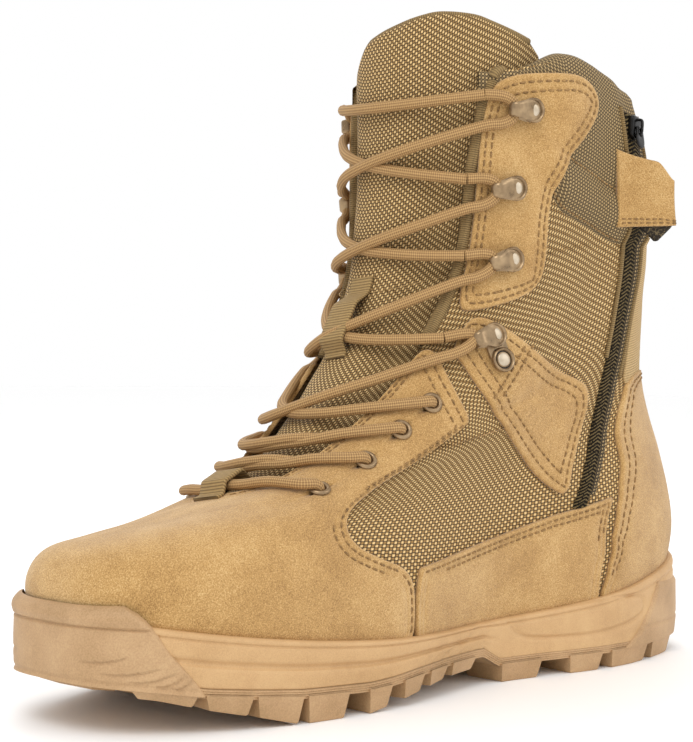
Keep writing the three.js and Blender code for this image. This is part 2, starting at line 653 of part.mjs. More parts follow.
// Hooks: sheet metal bent back over itself towards the rivet, so that the lace lies in the fold
const hookHeel = rivetWidth / 2 + 0.6; // the plate behind the rivet's middle
const hookNose = hookLength - hookHeel;
const hookRise = laceWidth + 2 * hookPlate;
const foldCorner = 1.6;
const hookOutline = [
  [-hookHeel, 0], [hookNose - foldCorner, 0], [hookNose, foldCorner], [hookNose, hookRise - foldCorner],
  [hookNose - foldCorner, hookRise], [rivetWidth / 2, hookRise - hookPlate / 2],
  [rivetWidth / 2, hookRise - 1.5 * hookPlate], [hookNose - foldCorner, hookRise - hookPlate],
  [hookNose - hookPlate, hookRise - foldCorner], [hookNose - hookPlate, foldCorner],
  [hookNose - foldCorner, hookPlate], [-hookHeel, hookPlate],
];
const outlineShape = (points) => new THREE.Shape(points.map(([x, y]) => new THREE.Vector2(x, y)));
function extruded(points, depth) {
  return new THREE.ExtrudeGeometry(outlineShape(points), { depth, bevelEnabled: false });
}
const hookFold = extruded(hookOutline, hookWidth).translate(0, 0, -hookWidth / 2).rotateX(Math.PI / 2);
const rivetShape = (x, y) => round([
  [0, hookPlate / 2], [rivetWidth / 2, hookPlate / 2], [rivetWidth / 2, 1.6 * hookPlate],
  [rivetWidth / 4, 2.3 * hookPlate], [0, 2.3 * hookPlate],
], 7).translate(x, y, 0);
const speedHook = geometryOf(manifold(hookFold).add(manifold(rivetShape(0, 0))));

// The lock hook at the ankle has a second rivet on a lobe of its plate
function lockHook(sign) {
  const [x, y] = [-0.6, -sign * 9.4]; // the second rivet, below the first
  const [half, reach] = [rivetWidth / 2 + 0.5, y + Math.sign(y) * (rivetWidth / 2 + 0.4)];
  const lobe = extruded([[x - half, 0], [x + half, 0], [x + half, y], [x + half / 2, reach], [x - half / 2, reach], [x - half, y]], hookPlate);
  return geometryOf(joined([hookFold, facingOut(indexed(lobe)), rivetShape(0, 0), rivetShape(x, y)].map(manifold)));
}
function indexed(geometry) {
  geometry.deleteAttribute("normal");
  geometry.deleteAttribute("uv");
  return mergeVertices(geometry, 1e-4);
}

for (const [side, sign] of sides) {
  placeOn(`lock_hook_${side}`, lockHook(sign), bronze, frameOn(lockHookPlace.t, sign * lockHookPlace.angle, overlayTop + flatLift));
  speedHookPlaces.forEach(({ t, angle }, i) => {
    placeOn(`speed_hook_${side}_${i + 1}`, speedHook, bronze, frameOn(t, sign * angle, overlayTop + flatLift));
  });
}

// Laces: strands over the tongue, between places given by height share, angle and distance out
const laceLift = 5.7 * seamGap; // a strand of straight steps on a round form
const overTongue = tongueUnder + tongueBulge + laceLift + laceWidth / 2;
const overSuede = overlayTop + laceLift + laceWidth / 2;
const overEyelet = overSuede + eyeletLip + seamGap;
const laceSides = 5;
function strand(from, to, rise = 0) {
  const steps = 5;
  const points = Array.from({ length: steps + 1 }, (_, i) => {
    const f = i / steps;
    const angle = lerp(from.angle, to.angle, f);
    const t = lerp(from.t, to.t, f) + rise * 4 * f * (1 - f);
    const lying = lerp(overTongue, overSuede, smooth(throatHalf(t) - 12, throatHalf(t) - 5, Math.abs(angle)));
    const end = Math.abs(2 * f - 1) ** 12;
    return upperPoint(t, angle, lerp(lying, f < 0.5 ? from.out : to.out, end));
  });
  const section = Array.from({ length: laceSides }, (_, i) => {
    const turn = (2 * i * Math.PI) / laceSides;
    return [Math.cos(turn) * laceWidth / 2, Math.sin(turn) * laceWidth / 2];
  });
  return manifold(facingOut(indexed(new THREE.ExtrudeGeometry(outlineShape(section), {
    steps, bevelEnabled: false, extrudePath: new THREE.CatmullRomCurve3(points),
  }))));
}
const hookAngle = THREE.MathUtils.radToDeg((hookNose + laceWidth / 2 + seamGap) / (legWidth / 2.4));
const hookEnds = [lockHookPlace, ...speedHookPlaces].map(({ t, angle }) => ({ t, angle: angle - hookAngle }));
const hookSpread = 0.016; // the lace comes in under a hook and leaves over it
const laceStarts = [
  ...eyeletPlaces.slice(1).map(({ t, angle }) => ({ t, angle, out: overEyelet })),
  ...hookEnds.map(({ t, angle }) => ({ t: t + hookSpread, angle, out: overSuede })),
];
const laceEnds = [
  ...eyeletPlaces.slice(2).map(({ t }) => ({ t: t - 0.02, angle: throatHalf(t) + 2, out: overSuede })),
  ...hookEnds.map(({ t, angle }) => ({ t: t - hookSpread, angle, out: overSuede })),
];
const mirror = ({ t, angle, out }) => ({ t, angle: -angle, out });
const crossing = (from, to, rise) => strand(from, mirror(to), rise).add(strand(mirror(from), to, rise));
const crossRise = [0.02, 0.012, 0, 0, 0, 0]; // how far a crossing bows up
laceEnds.forEach((end, i) => {
  place(`lace_cross_${i + 1}`, geometryOf(crossing(laceStarts[i], end, crossRise[i])), cord);
});
const firstEyelet = { ...eyeletPlaces[0], out: overEyelet };
const barRise = 0.062; // the first bar bows up to the throat's lower edge
place("lace_first_bar", geometryOf(strand(firstEyelet, mirror(firstEyelet), barRise)), cord);
const lastStart = laceStarts[laceStarts.length - 1];
place("lace_top_bar", geometryOf(strand(lastStart, mirror(lastStart))), cord);

// Webbing keepers: flat loops over the lace. Each row is a height share and a distance out.
const keeperThickness = 1.2;
function keeper(rows, half) {
  const face = (depth) => rows.map(([t, out]) => [-half, 0, half].map((a) => upperPoint(t, a, out + depth)));
  return sheet(face(0), face(keeperThickness));
}
const overLace = overTongue + laceWidth / 2 + 2 * seamGap;
const keeperLift = 4 * seamGap;
const onTongue = tongueUnder + tongueBulge + keeperLift;
place("tongue_keeper", keeper([
  [0.65, onTongue], [0.655, onTongue], [0.663, overLace], [0.712, overLace], [0.73, onTongue], [0.748, onTongue],
], 7), webbing);
place("throat_keeper", keeper([
  [0.396, overlayTop + laceLift], [0.406, overlayTop + laceLift], [0.416, overLace], [0.446, overLace], [0.4525, -0.6],
], 8), webbing);

// Zip on the medial side: the chain, its slider, the pull and the flap that covers its top
const zipLine = table("t centre", [0.215, 116.6], [0.367, 118], [0.49, 118.8], [0.61, 118.4], [0.72, 118], [0.9, 117.5]);
const zipCentre = (t) => tableValue(zipLine, "t", "centre", t);
const zipRows = [...zipLine.map(({ t }) => t), zipTop + 0.02].map((t) => {
  const degree = sectionPoint(t, zipCentre(t) - 0.5).distanceTo(sectionPoint(t, zipCentre(t) + 0.5));
  const half = zipWidth / 2 / degree;
  return [t, -zipCentre(t) - half, -zipCentre(t) + half];
});
place("zip_chain", geometryOf(overlayBand.intersect(cutterOf(zipRows, 2))), zipCord);

const sliderHalf = zipWidth / 2;
const bridgeWidth = 1.3;
const [bridgeEnd, bridgeInner, bridgeRise] = [3.1, 1.9, 2.4];
const sliderBody = extruded([
  [-sliderHalf, -sliderLength / 2], [sliderHalf, -sliderLength / 2], [sliderHalf * 0.7, sliderLength / 2], [-sliderHalf * 0.7, sliderLength / 2],
], sliderThickness);
const bridge = extruded([
  [-bridgeEnd, -0.5], [-bridgeInner, -0.5], [-bridgeInner, bridgeRise - 1], [bridgeInner, bridgeRise - 1], [bridgeInner, -0.5],
  [bridgeEnd, -0.5], [bridgeEnd, bridgeRise], [-bridgeEnd, bridgeRise],
], bridgeWidth).translate(0, 0, -bridgeWidth / 2).rotateX(Math.PI / 2).rotateZ(Math.PI / 2).translate(0, 0, sliderThickness);
const zipFrame = frameOn(zipTop, -zipCentre(zipTop), outsideOf(zipTop, zipCentre(zipTop)) + overlayTop);
placeOn("zip_slider", geometryOf(joined([sliderBody, bridge].map((g) => manifold(facingOut(indexed(g)))))), blackMetal, zipFrame);

// The pull hangs on the bridge by its upper bar, which turns under it
const pivotHeight = sliderThickness + (bridgeRise - 1) / 2;
const pullGap = 0.35;
function pullGeometry() {
  const shape = outlineShape([
    [-pullWidth / 2 + 1.2, -pullThickness / 2], [pullWidth / 2 - 1.2, -pullThickness / 2], [pullWidth / 2 - 0.8, 2], [pullWidth / 2, pullLength - 2],
    [pullWidth / 2 - 1.2, pullLength], [-pullWidth / 2 + 1.2, pullLength], [-pullWidth / 2, pullLength - 2], [-pullWidth / 2 + 0.8, 2],
  ]);
  const eye = bridgeWidth / 2 + pullGap;
  shape.holes.push(new THREE.Path([
    [-eye, pullThickness / 2], [eye, pullThickness / 2], [eye, bridgeEnd + 2 * pullGap], [-eye, bridgeEnd + 2 * pullGap],
  ].map(([x, y]) => new THREE.Vector2(x, y))));
  return new THREE.ExtrudeGeometry(shape, { depth: pullThickness, bevelEnabled: false }).translate(0, 0, -pullThickness / 2);
}
const pullLean = degrees(8); // at rest it leans a little off the slider
placeOn("zip_pull", pullGeometry().rotateX(pullLean).translate(0, 0, pivotHeight), blackMetal, zipFrame);

// The flap over the zip's top, standing open: rows of angle and distance out
const flapLine = table("angle out", [106.5, 0.7], [109.8, 2.3], [113.1, 4.9], [116.2, 7.9], [118.9, 11], [121, garageReach - 2]);
const flapGap = 0.75; // between the pull's tip and the flap's top edge
const flapHigh = zipTop - (pullLength + flapGap) / (collarHeight - featherToe);
const flapLow = flapHigh - 0.8 * garageHeight / (collarHeight - featherToe);
const flapThickness = 2;
const flapFace = (depth) => flapLine.map(({ angle, out }, i) => [0, 0.5, 1].map((f) => {
  const t = lerp(flapLow, flapHigh - 0.005 * i, f);
  return upperPoint(t, -angle, outsideOf(t, angle) + out + depth);
}));
place("zip_flap", sheet(flapFace(0), flapFace(flapThickness)), suede);

// The origin lies on the floor, under the middle of the whole boot
const whole = new THREE.Box3().setFromObject(boot);
const middle = whole.getCenter(new THREE.Vector3());
boot.position.set(-middle.x, -middle.y, -whole.min.z);

export default boot;
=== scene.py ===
# %% [markdown]
# # A laced combat boot
# This lesson dresses a finished boot model for a product picture. The model's solids are plain, so
# every piece that shows is made again with its real edges, seams and weave, in the same place.
# We start by loading the model, with a helper that gives the box of one of its parts.

# %% Load the model
import math

import bpy
import numpy as np
from mathutils import Matrix, Vector
from mathutils.geometry import delaunay_2d_cdt


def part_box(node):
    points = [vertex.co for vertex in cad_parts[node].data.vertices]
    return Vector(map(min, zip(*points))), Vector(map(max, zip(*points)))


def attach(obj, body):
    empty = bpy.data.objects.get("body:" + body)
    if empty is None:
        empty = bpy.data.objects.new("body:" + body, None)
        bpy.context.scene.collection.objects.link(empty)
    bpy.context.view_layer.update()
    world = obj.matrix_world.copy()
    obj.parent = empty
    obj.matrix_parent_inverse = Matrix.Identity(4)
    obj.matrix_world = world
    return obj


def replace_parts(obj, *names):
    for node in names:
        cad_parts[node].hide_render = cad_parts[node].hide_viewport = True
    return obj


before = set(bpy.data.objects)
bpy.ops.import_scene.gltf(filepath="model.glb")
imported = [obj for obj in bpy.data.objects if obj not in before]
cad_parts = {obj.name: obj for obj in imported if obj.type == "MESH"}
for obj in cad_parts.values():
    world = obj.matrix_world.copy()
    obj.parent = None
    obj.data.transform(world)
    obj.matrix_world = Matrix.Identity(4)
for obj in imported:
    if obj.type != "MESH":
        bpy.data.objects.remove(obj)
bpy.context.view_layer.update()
MM = 0.001

# %% [markdown]
# The boot's form is a stack of sections between the sole and the collar, so a place on it needs two
# numbers only: the share of the height and the angle round the boot, 0 at the toe, 180 at the heel
# and negative on the zip's side. All the pieces below are laid out with these two numbers, and that
# keeps a seam on the form wherever it runs. Lengths are in millimetres until a mesh is made.

# %% The form of the boot
BOOT_LENGTH = 310.0
COLLAR_HEIGHT = 234.0
BALL_WIDTH = 102.0
LEG_WIDTH = 96.0
HEEL_WIDTH = 84.0
TOE_LEAN = 4.0
FEATHER_TOE = 35.0
FEATHER_HEEL = 38.0
SIDE_BOW = 16.0
LATERAL_FALL = 6.0
COLUMNS = "front back bow toe heel ball waist seat nose rear lean outer fall".split()
SECTIONS = np.array([
    [0.000, 0.000, -1.00, -0.474, 0.487, 0.490, 0.395, 0.490, 0.66, 0.62, 1.00, 1.000, 0.0],
    [0.055, 0.075, -0.80, -0.477, 0.494, 0.500, 0.425, 0.510, 0.70, 0.64, 1.00, 0.985, 0.0],
    [0.100, 0.150, -0.55, -0.461, 0.487, 0.490, 0.440, 0.510, 0.76, 0.70, 1.00, 0.955, 0.4],
    [0.130, 0.225, -0.25, -0.416, 0.473, 0.460, 0.440, 0.500, 0.84, 0.80, 1.00, 0.925, 1.0],
    [0.150, 0.300, 0.00, -0.339, 0.454, 0.430, 0.440, 0.475, 0.92, 0.88, 0.75, 0.910, 1.0],
    [0.185, 0.375, 0.12, -0.258, 0.438, 0.420, 0.440, 0.475, 1.00, 0.95, 0.50, 0.910, 1.0],
    [0.250, 0.455, 0.19, -0.187, 0.430, 0.410, 0.440, 0.475, 1.00, 1.00, 0.25, 0.900, 1.0],
    [0.340, 0.530, 0.25, -0.123, 0.427, 0.400, 0.450, 0.475, 1.00, 1.00, 0.00, 0.885, 1.0],
    [0.445, 0.600, 0.31, -0.068, 0.422, 0.400, 0.450, 0.490, 1.00, 1.00, 0.00, 0.870, 0.9],
    [0.570, 0.670, 0.31, -0.032, 0.410, 0.410, 0.460, 0.500, 1.00, 1.00, 0.00, 0.865, 0.6],
    [0.710, 0.735, 0.37, -0.019, 0.390, 0.430, 0.480, 0.510, 1.00, 1.00, 0.00, 0.860, 0.3],
    [0.845, 0.790, 0.44, -0.016, 0.368, 0.440, 0.500, 0.510, 1.00, 1.00, 0.00, 0.860, 0.0],
    [1.000, 0.850, 0.50, -0.016, 0.345, 0.440, 0.500, 0.510, 1.00, 1.00, 0.00, 0.860, 0.0],
])
BALL, WAIST, SEAT = 0.32, 0.57, 0.82


def smooth(start, end, x):
    """A soft step from 0 at start to 1 at end."""
    f = np.clip((x - start) / (end - start), 0, 1)
    return f * f * (3 - 2 * f)


def hump(x, width):
    """A bell curve that is 1 in its middle."""
    return np.exp(-((x / width) ** 2))


def signed(angle):
    """The same angle, between -180 and 180."""
    return (angle + 180) % 360 - 180


def section(t):
    """The columns of the table at a height share, with a smooth curve through its rows."""
    last = len(SECTIONS) - 1
    place = np.clip(t, 0, 1) * last
    i = np.minimum(last - 1, np.floor(place).astype(int))
    f = (place - i)[..., None]
    b, c = SECTIONS[i], SECTIONS[i + 1]
    a = np.where((i > 0)[..., None], SECTIONS[np.maximum(i - 1, 0)], 2 * b - c)
    d = np.where((i < last - 1)[..., None], SECTIONS[np.minimum(i + 2, last)], 2 * c - b)
    curve = (2 * b + (c - a) * f + (2 * a - 5 * b + 4 * c - d) * f ** 2
             + (3 * b - a - 3 * c + d) * f ** 3) / 2
    beyond = np.maximum(0, t - 1)[..., None] * last * (SECTIONS[last] - SECTIONS[last - 1])
    return dict(zip(COLUMNS, np.moveaxis(curve + beyond, -1, 0)))


def form(t, angle):
    """Points of the plain form, in millimetres."""
    t, angle = np.broadcast_arrays(np.asarray(t, float), np.asarray(angle, float))
    row = section(t)
    turn = np.radians(angle)
    along = (1 - np.cos(turn)) / 2
    side = np.abs(np.sin(turn))

    def squareness(u):
        return row["nose"] + (row["rear"] - row["nose"]) * smooth(0.3, 0.7, u)

    def fullness(u, width):
        return width / (2 * np.sqrt(u * (1 - u))) ** squareness(u)

    ball = fullness(BALL, row["ball"] * BALL_WIDTH)
    waist = fullness(WAIST, row["waist"] * LEG_WIDTH)
    seat = fullness(SEAT, row["seat"] * HEEL_WIDTH)
    width = np.where(along < WAIST, ball + (waist - ball) * smooth(BALL, WAIST, along),
                     waist + (seat - waist) * smooth(WAIST, SEAT, along))
    lean = row["lean"] * TOE_LEAN
    sway = lean * (0.55 * (smooth(0.1, 0.4, along) - smooth(0.4, 0.75, along))
                   - (1 - smooth(0, 0.42, along)))
    rise = COLLAR_HEIGHT - FEATHER_TOE
    front = FEATHER_TOE + row["front"] * rise
    back = FEATHER_HEEL + row["back"] * rise
    x = BOOT_LENGTH * (row["toe"] + (row["heel"] - row["toe"]) * along)
    across = np.where(np.sin(turn) < 0, -width, width * row["outer"])
    y = sway + across * np.maximum(side, 1e-9) ** squareness(along)
    side_angle = signed(angle)
    fallen = row["fall"] * LATERAL_FALL * smooth(-40, 40, side_angle) * (1 - smooth(80, 150, side_angle))
    z = front + (back - front) * along + row["bow"] * SIDE_BOW * side ** 2 - fallen
    return np.stack([x, y, z], -1)


def unit(vectors):
    return vectors / np.maximum(np.linalg.norm(vectors, axis=-1, keepdims=True), 1e-12)


def normal(t, angle):
    """Directions that stand on the form."""
    t, angle = np.broadcast_arrays(np.asarray(t, float), np.asarray(angle, float))
    low = np.maximum(0, t - 0.004)
    up = form(low + 0.008, angle) - form(low, angle)
    return unit(np.cross(up, form(t, angle + 0.5) - form(t, angle - 0.5)))


def sole_line(angle, out):
    """The outline of the form's foot, moved outwards in the plane."""
    angle = np.asarray(angle, float)
    step = form(0.0, angle + 0.5) - form(0.0, angle - 0.5)
    step[..., 2] = 0
    step = unit(step)
    return form(0.0, angle) + np.stack([-step[..., 1], step[..., 0], 0 * angle], -1) * out


# The model's own origin: its insole has the same outline, so the two middles tell the shift
INSOLE_EDGE = 4.2
insole_box = [np.array(corner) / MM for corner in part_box("insole")]
insole_rim = sole_line(np.arange(-180.0, 180.0, 0.5), -INSOLE_EDGE)
SHIFT = (insole_box[0] + insole_box[1]) / 2 - (insole_rim.min(0) + insole_rim.max(0)) / 2
SHIFT[2] = 0
print("shift of the origin in mm", SHIFT.round(2))

# %% [markdown]
# The padded collar swells between its seams, and no real boot is as smooth as a formula. Both are
# written as a height over the form, which every layer shares, so a panel never sinks into the
# padding beneath it.

# %% Swelling and creases
COLLAR_SEAM = ([0, 62, 72, 80, 96, 108, 122, 150, 180],
               [0.93, 0.9, 0.83, 0.79, 0.757, 0.728, 0.712, 0.72, 0.725])
MIDDLE_SEAM = ([0, 62, 72, 84, 106, 122, 150, 180], [0.97, 0.95, 0.89, 0.852, 0.814, 0.8, 0.81, 0.812])


def collar_seam(angle):
    return np.interp(np.abs(angle), *COLLAR_SEAM)


def middle_seam(angle):
    return np.interp(np.abs(angle), *MIDDLE_SEAM)


FRONT_DIP = 10 / (1.86 * (COLLAR_HEIGHT - FEATHER_TOE))


def brim(t, angle):
    """The height share with the collar's front corners drawn down."""
    side = np.abs(signed(angle))
    return t - FRONT_DIP * smooth(0.85, 1, t) * (1 - smooth(50, 92, side))


def swelling(share):
    """The cross section of a padded roll between its two seams."""
    return np.where((share > 0) & (share < 1), 1 - np.abs(2 * np.clip(share, 0, 1) - 1) ** 2.6, 0)


def relief(t, angle):
    """Millimetres over the plain form: padding, the dip of the zip, unevenness and two creases."""
    angle = signed(np.asarray(angle, float))
    side = np.abs(angle)
    low, middle = collar_seam(angle), middle_seam(angle)
    behind = smooth(60, 80, side)
    padding = 1.6 * smooth(0.0, 0.05, t - low + 0.01) * behind
    puffs = 1.9 * swelling((t - low) / (middle - low)) + 2.0 * swelling((t - middle) / (1.03 - middle))
    zip_dip = 1.3 * hump(angle + 117.5, 5.5) * smooth(0.2, 0.25, t)
    uneven = 0.35 * np.sin(t * 21 + angle * 0.11) * np.sin(angle * 0.083 + 1.3) * smooth(0.15, 0.4, t)
    ankle = 0.9 * hump(t - 0.47 - 0.0012 * (side - 90), 0.018) * hump(side - 84, 14)
    second = 0.7 * hump(t - 0.56 + 0.001 * (side - 90), 0.015) * hump(side - 92, 13)
    return padding + puffs * behind - zip_dip + uneven - ankle - second


def skin(t, angle, out=0.0):
    """Points over the form, in millimetres, with the relief that all layers share."""
    return form(t, angle) + normal(t, angle) * (np.asarray(out) + relief(t, angle))[..., None]


# %% [markdown]
# Cloth shows its weave at the same size all over, so each point also needs its place on the flat
# cloth: the length along the form from the toe line, and the length up from the sole. Adding up
# small steps gives both as tables.

# %% Lengths along the form
GRID_T = np.linspace(0, 1.2, 121)
GRID_A = np.arange(-180.0, 181.0, 1.0)
grid = form(GRID_T[:, None], GRID_A[None, :])
around = np.concatenate([np.zeros((len(GRID_T), 1)),
                         np.linalg.norm(np.diff(grid, axis=1), axis=-1).cumsum(1)], 1)
around -= around[:, 180:181]
upward = np.concatenate([np.zeros((1, len(GRID_A))),
                         np.linalg.norm(np.diff(grid, axis=0), axis=-1).cumsum(0)], 0)
RISE = 205.0  # millimetres of leather for the whole height


def from_tables(table, t, angle):
    """A table's value between its rows and columns."""
    t = np.clip(t, 0, GRID_T[-1]) / (GRID_T[1] - GRID_T[0])
    angle = ((np.asarray(angle, float) + 180) % 360)
    i = np.minimum(len(GRID_T) - 2, np.floor(t).astype(int))
    j = np.minimum(len(GRID_A) - 2, np.floor(angle).astype(int))
    f, g = t - i, angle - j
    return ((table[i, j] * (1 - g) + table[i, j + 1] * g) * (1 - f)
            + (table[i + 1, j] * (1 - g) + table[i + 1, j + 1] * g) * f)


def cloth(t, angle):
    """Cloth coordinates: the length round the form and the length up from the sole."""
    t, angle = np.broadcast_arrays(np.asarray(t, float), np.asarray(angle, float))
    return np.stack([from_tables(around, t, angle), from_tables(upward, t, angle), 0 * t], -1)


SIDE_MIDDLE = 95.0
YARN_LEVELS = (0.28, 0.62)  # the yarns keep the spacing of one height below the ankle, of another above


def side_cloth(t, angle):
    """Cloth coordinates measured from the middle of each side, so that the yarns stand upright there."""
    pattern = cloth(t, angle)
    side = np.where((angle + 180) % 360 < 180, -SIDE_MIDDLE, SIDE_MIDDLE)
    level = YARN_LEVELS[0] + (YARN_LEVELS[1] - YARN_LEVELS[0]) * smooth(0.36, 0.54, t)
    pattern[..., 0] = from_tables(around, level, angle) - from_tables(around, level, side)
    return pattern


def flat(t, angle):
    """The plane in which a pattern is cut: length round the boot against height share."""
    t, angle = np.asarray(t, float), np.asarray(angle, float)
    to_heel = from_tables(around, t, 179.999)
    length = from_tables(around, t, angle) + np.where(angle > 180, 2, 0) * to_heel
    return np.stack([length, t * RISE], -1)


def whole_cloth(t, angle):
    """Cloth coordinates that run on round the heel."""
    pattern = cloth(t, angle)
    pattern[..., 0] = flat(*np.broadcast_arrays(t, angle))[..., 0]
    return pattern


def unflat(points):
    """Height shares and angles of points in the pattern's plane."""
    t = points[:, 1] / RISE
    whole = np.clip(t, 0, GRID_T[-1]) / (GRID_T[1] - GRID_T[0])
    i = np.minimum(len(GRID_T) - 2, np.floor(whole).astype(int))
    f = (whole - i)[:, None]
    rows = around[i] * (1 - f) + around[i + 1] * f
    wrapped = np.concatenate([rows, rows[:, 1:] + 2 * rows[:, -1:]], 1)
    angles = np.concatenate([GRID_A, GRID_A[1:] + 360])
    return t, np.array([np.interp(length, row, angles) for length, row in zip(points[:, 0], wrapped)])


print("length round the throat in mm", around[40, -1].round(1))

# %% [markdown]
# Materials come next. A small class wraps a socket, so that shader maths reads like Python: an
# expression on values adds its Math nodes. Any other node comes from one method.

# %% Writing shaders


class Value:
    """A number or vector that a node gives out."""

    def __init__(self, paint, socket):
        self.paint = paint
        self.socket = socket

    def math(self, operation, *others):
        sockets = dict(enumerate([self, *others]))
        return self.paint.add("ShaderNodeMath", {"operation": operation}, sockets)

    def reflected(self, operation, other):
        return self.paint.add("ShaderNodeMath", {"operation": operation}, {0: other, 1: self})

    def __add__(self, other):
        return self.math("ADD", other)

    __radd__ = __add__

    def __sub__(self, other):
        return self.math("SUBTRACT", other)

    def __rsub__(self, other):
        return self.reflected("SUBTRACT", other)

    def __mul__(self, other):
        return self.math("MULTIPLY", other)

    __rmul__ = __mul__

    def __truediv__(self, other):
        return self.math("DIVIDE", other)

    def __pow__(self, other):
        return self.math("POWER", other)

    def __mod__(self, other):
        return self.math("FLOORED_MODULO", other)

    def __gt__(self, other):
        return self.math("GREATER_THAN", other)

    def __lt__(self, other):
        return self.math("LESS_THAN", other)

    def floor(self):
        return self.math("FLOOR")

    def part(self):
        return self.math("FRACT")

    def sine(self):
        return self.math("SINE")

    def size(self):
        return self.math("ABSOLUTE")

    def ramp(self, start, end, low=0.0, high=1.0):
        return self.paint.add("ShaderNodeMapRange", {"clamp": True},
                              {0: self, 1: start, 2: end, 3: low, 4: high})


def linear(hex_colour):
    parts = [int(hex_colour[i:i + 2], 16) / 255 for i in (0, 2, 4)]
    return tuple(((c + 0.055) / 1.055) ** 2.4 if c > 0.04045 else c / 12.92 for c in parts) + (1.0,)


# %% [markdown]
# The second class is one material. It starts with a shader and an output, adds any node by its type,
# and keeps the few patterns that nearly every finish here needs: noise, a mesh attribute and a bump.

# %% One material


class Paint:
    """One material and the nodes that make it."""

    def __init__(self, name, slot):
        self.slot = slot
        self.material = bpy.data.materials.new(name)
        self.material.use_nodes = True
        self.nodes = self.material.node_tree.nodes
        self.links = self.material.node_tree.links
        self.nodes.clear()
        shader = self.add("ShaderNodeBsdfPrincipled")
        self.shader = shader.socket.node
        self.add("ShaderNodeOutputMaterial", {}, {"Surface": shader})

    def add(self, kind, settings=None, inputs=None, output=0):
        node = self.nodes.new(kind)
        for key, value in (settings or {}).items():
            setattr(node, key, value)
        for key, value in (inputs or {}).items():
            self.feed(node.inputs[key], value)
        return Value(self, node.outputs[output]) if len(node.outputs) else None

    def feed(self, socket, value):
        if isinstance(value, Value):
            self.links.new(value.socket, socket)
        else:
            socket.default_value = value

    def mix(self, low, high, share):
        return self.add("ShaderNodeMix", {"data_type": "RGBA"}, {0: share, 6: low, 7: high}, 2)

    def place(self):
        return self.add("ShaderNodeTexCoord", output="Object")

    def noise(self, scale, detail=3.0, roughness=0.55):
        """Noise in the boot's own space, with scale as its waves in a metre."""
        return self.add("ShaderNodeTexNoise", {}, {
            "Vector": self.place(), "Scale": scale, "Detail": detail, "Roughness": roughness})

    def along(self, attribute):
        """The three numbers of a mesh attribute."""
        vector = self.add("ShaderNodeAttribute", {"attribute_name": attribute}, {}, "Vector")
        return [self.add("ShaderNodeSeparateXYZ", {}, {0: vector}, i) for i in range(3)]

    def bump(self, height, distance, strength=1.0):
        inputs = {"Height": height, "Distance": distance, "Strength": strength}
        return self.add("ShaderNodeBump", {}, inputs)

    def set(self, **inputs):
        for key, value in inputs.items():
            self.feed(self.shader.inputs[key.replace("_", " ")], value)
        return self


# %% [markdown]
# Rough suede is matt, with short nap that lies in patches, so its colour changes in soft clouds and
# in fine specks. The specks also lift the nap as bumps. Sheen gives the pale bloom of its hairs.

# %% Suede


def suede_paint(name, base, dark, light):
    paint = Paint(name, "suede")
    clouds = paint.noise(38.0, 4.0, 0.6)
    patches = paint.noise(160.0, 4.0, 0.65)
    specks = paint.noise(2300.0, 3.0, 0.7)
    hairs = paint.noise(3200.0, 2.0, 0.6)
    tone = clouds.ramp(0.3, 0.7) * 0.3 + patches.ramp(0.3, 0.7) * 0.14
    tone = tone + specks.ramp(0.34, 0.66) * 0.7 - 0.08
    colour = paint.mix(linear(dark), linear(base), tone.ramp(0.0, 0.55))
    colour = paint.mix(colour, linear(light), tone.ramp(0.55, 1.15))
    height = specks * 0.6 + hairs * 0.4 + patches * 0.8
    return paint.set(
        Base_Color=colour, Roughness=0.93, Specular_IOR_Level=0.22, Sheen_Weight=0.25,
        Sheen_Roughness=0.5, Normal=paint.bump(height, 0.00035, 0.9))


suede = suede_paint("suede", "bd955c", "8a6639", "e2c28d")

# %% [markdown]
# Ballistic cloth is a coarse basket of thick yarns. Each crossing shows either the pale warp or the
# darker weft, and a yarn is round, so one pattern of cells gives colour, height and shine together.

# %% Woven cloth


def woven_paint(name, slot, pitch, pale, deep, gap, slant=False, relief_mm=0.25, wide=1.0):
    paint = Paint(name, slot)
    x, y, _ = paint.along("cloth")
    if slant:
        x, y = (x + y) * 0.7071, (y - x) * 0.7071
    wobble = paint.noise(300.0, 2.0)
    u = x / (pitch * wide) + (wobble - 0.5) * 0.18
    v = y / pitch + (wobble - 0.5) * 0.18
    over = ((u.floor() + v.floor()) % 2.0)
    across = (u.part() * math.pi).sine()
    along = (v.part() * math.pi).sine()
    pale_yarn = across ** 0.9 * (along ** 0.55)
    deep_yarn = along ** 0.9 * (across ** 0.55)
    height = over * pale_yarn + (1 - over) * deep_yarn * 0.75
    dust = paint.noise(60.0, 4.0)
    yarn = paint.mix(linear(deep), linear(pale), over * (0.75 + dust * 0.5))
    colour = paint.mix(linear(gap), yarn, height.ramp(0.12, 0.72))
    return paint.set(
        Base_Color=colour, Roughness=0.72, Specular_IOR_Level=0.35,
        Normal=paint.bump(height, relief_mm * MM, 1.0))


ballistic = woven_paint("ballistic_cloth", "nylon", 1.15, "e2bf84", "967340", "38270f", wide=0.85)
side_ballistic = woven_paint("side_ballistic_cloth", "nylon", 1.13, "e2bf84", "a37d46", "3d2b14", wide=1.42)
collar_cloth = woven_paint("collar_mesh", "nylon", 0.95, "b89c6c", "7a6644", "3a2c1a", True, 0.15)
lining_cloth = woven_paint("lining_cloth", "lining", 0.9, "7c6a49", "665538", "352b1c", True, 0.12)

# %% [markdown]
# Webbing and binding are ribbed across their length, and thread is plain twisted yarn.

# %% Webbing and thread


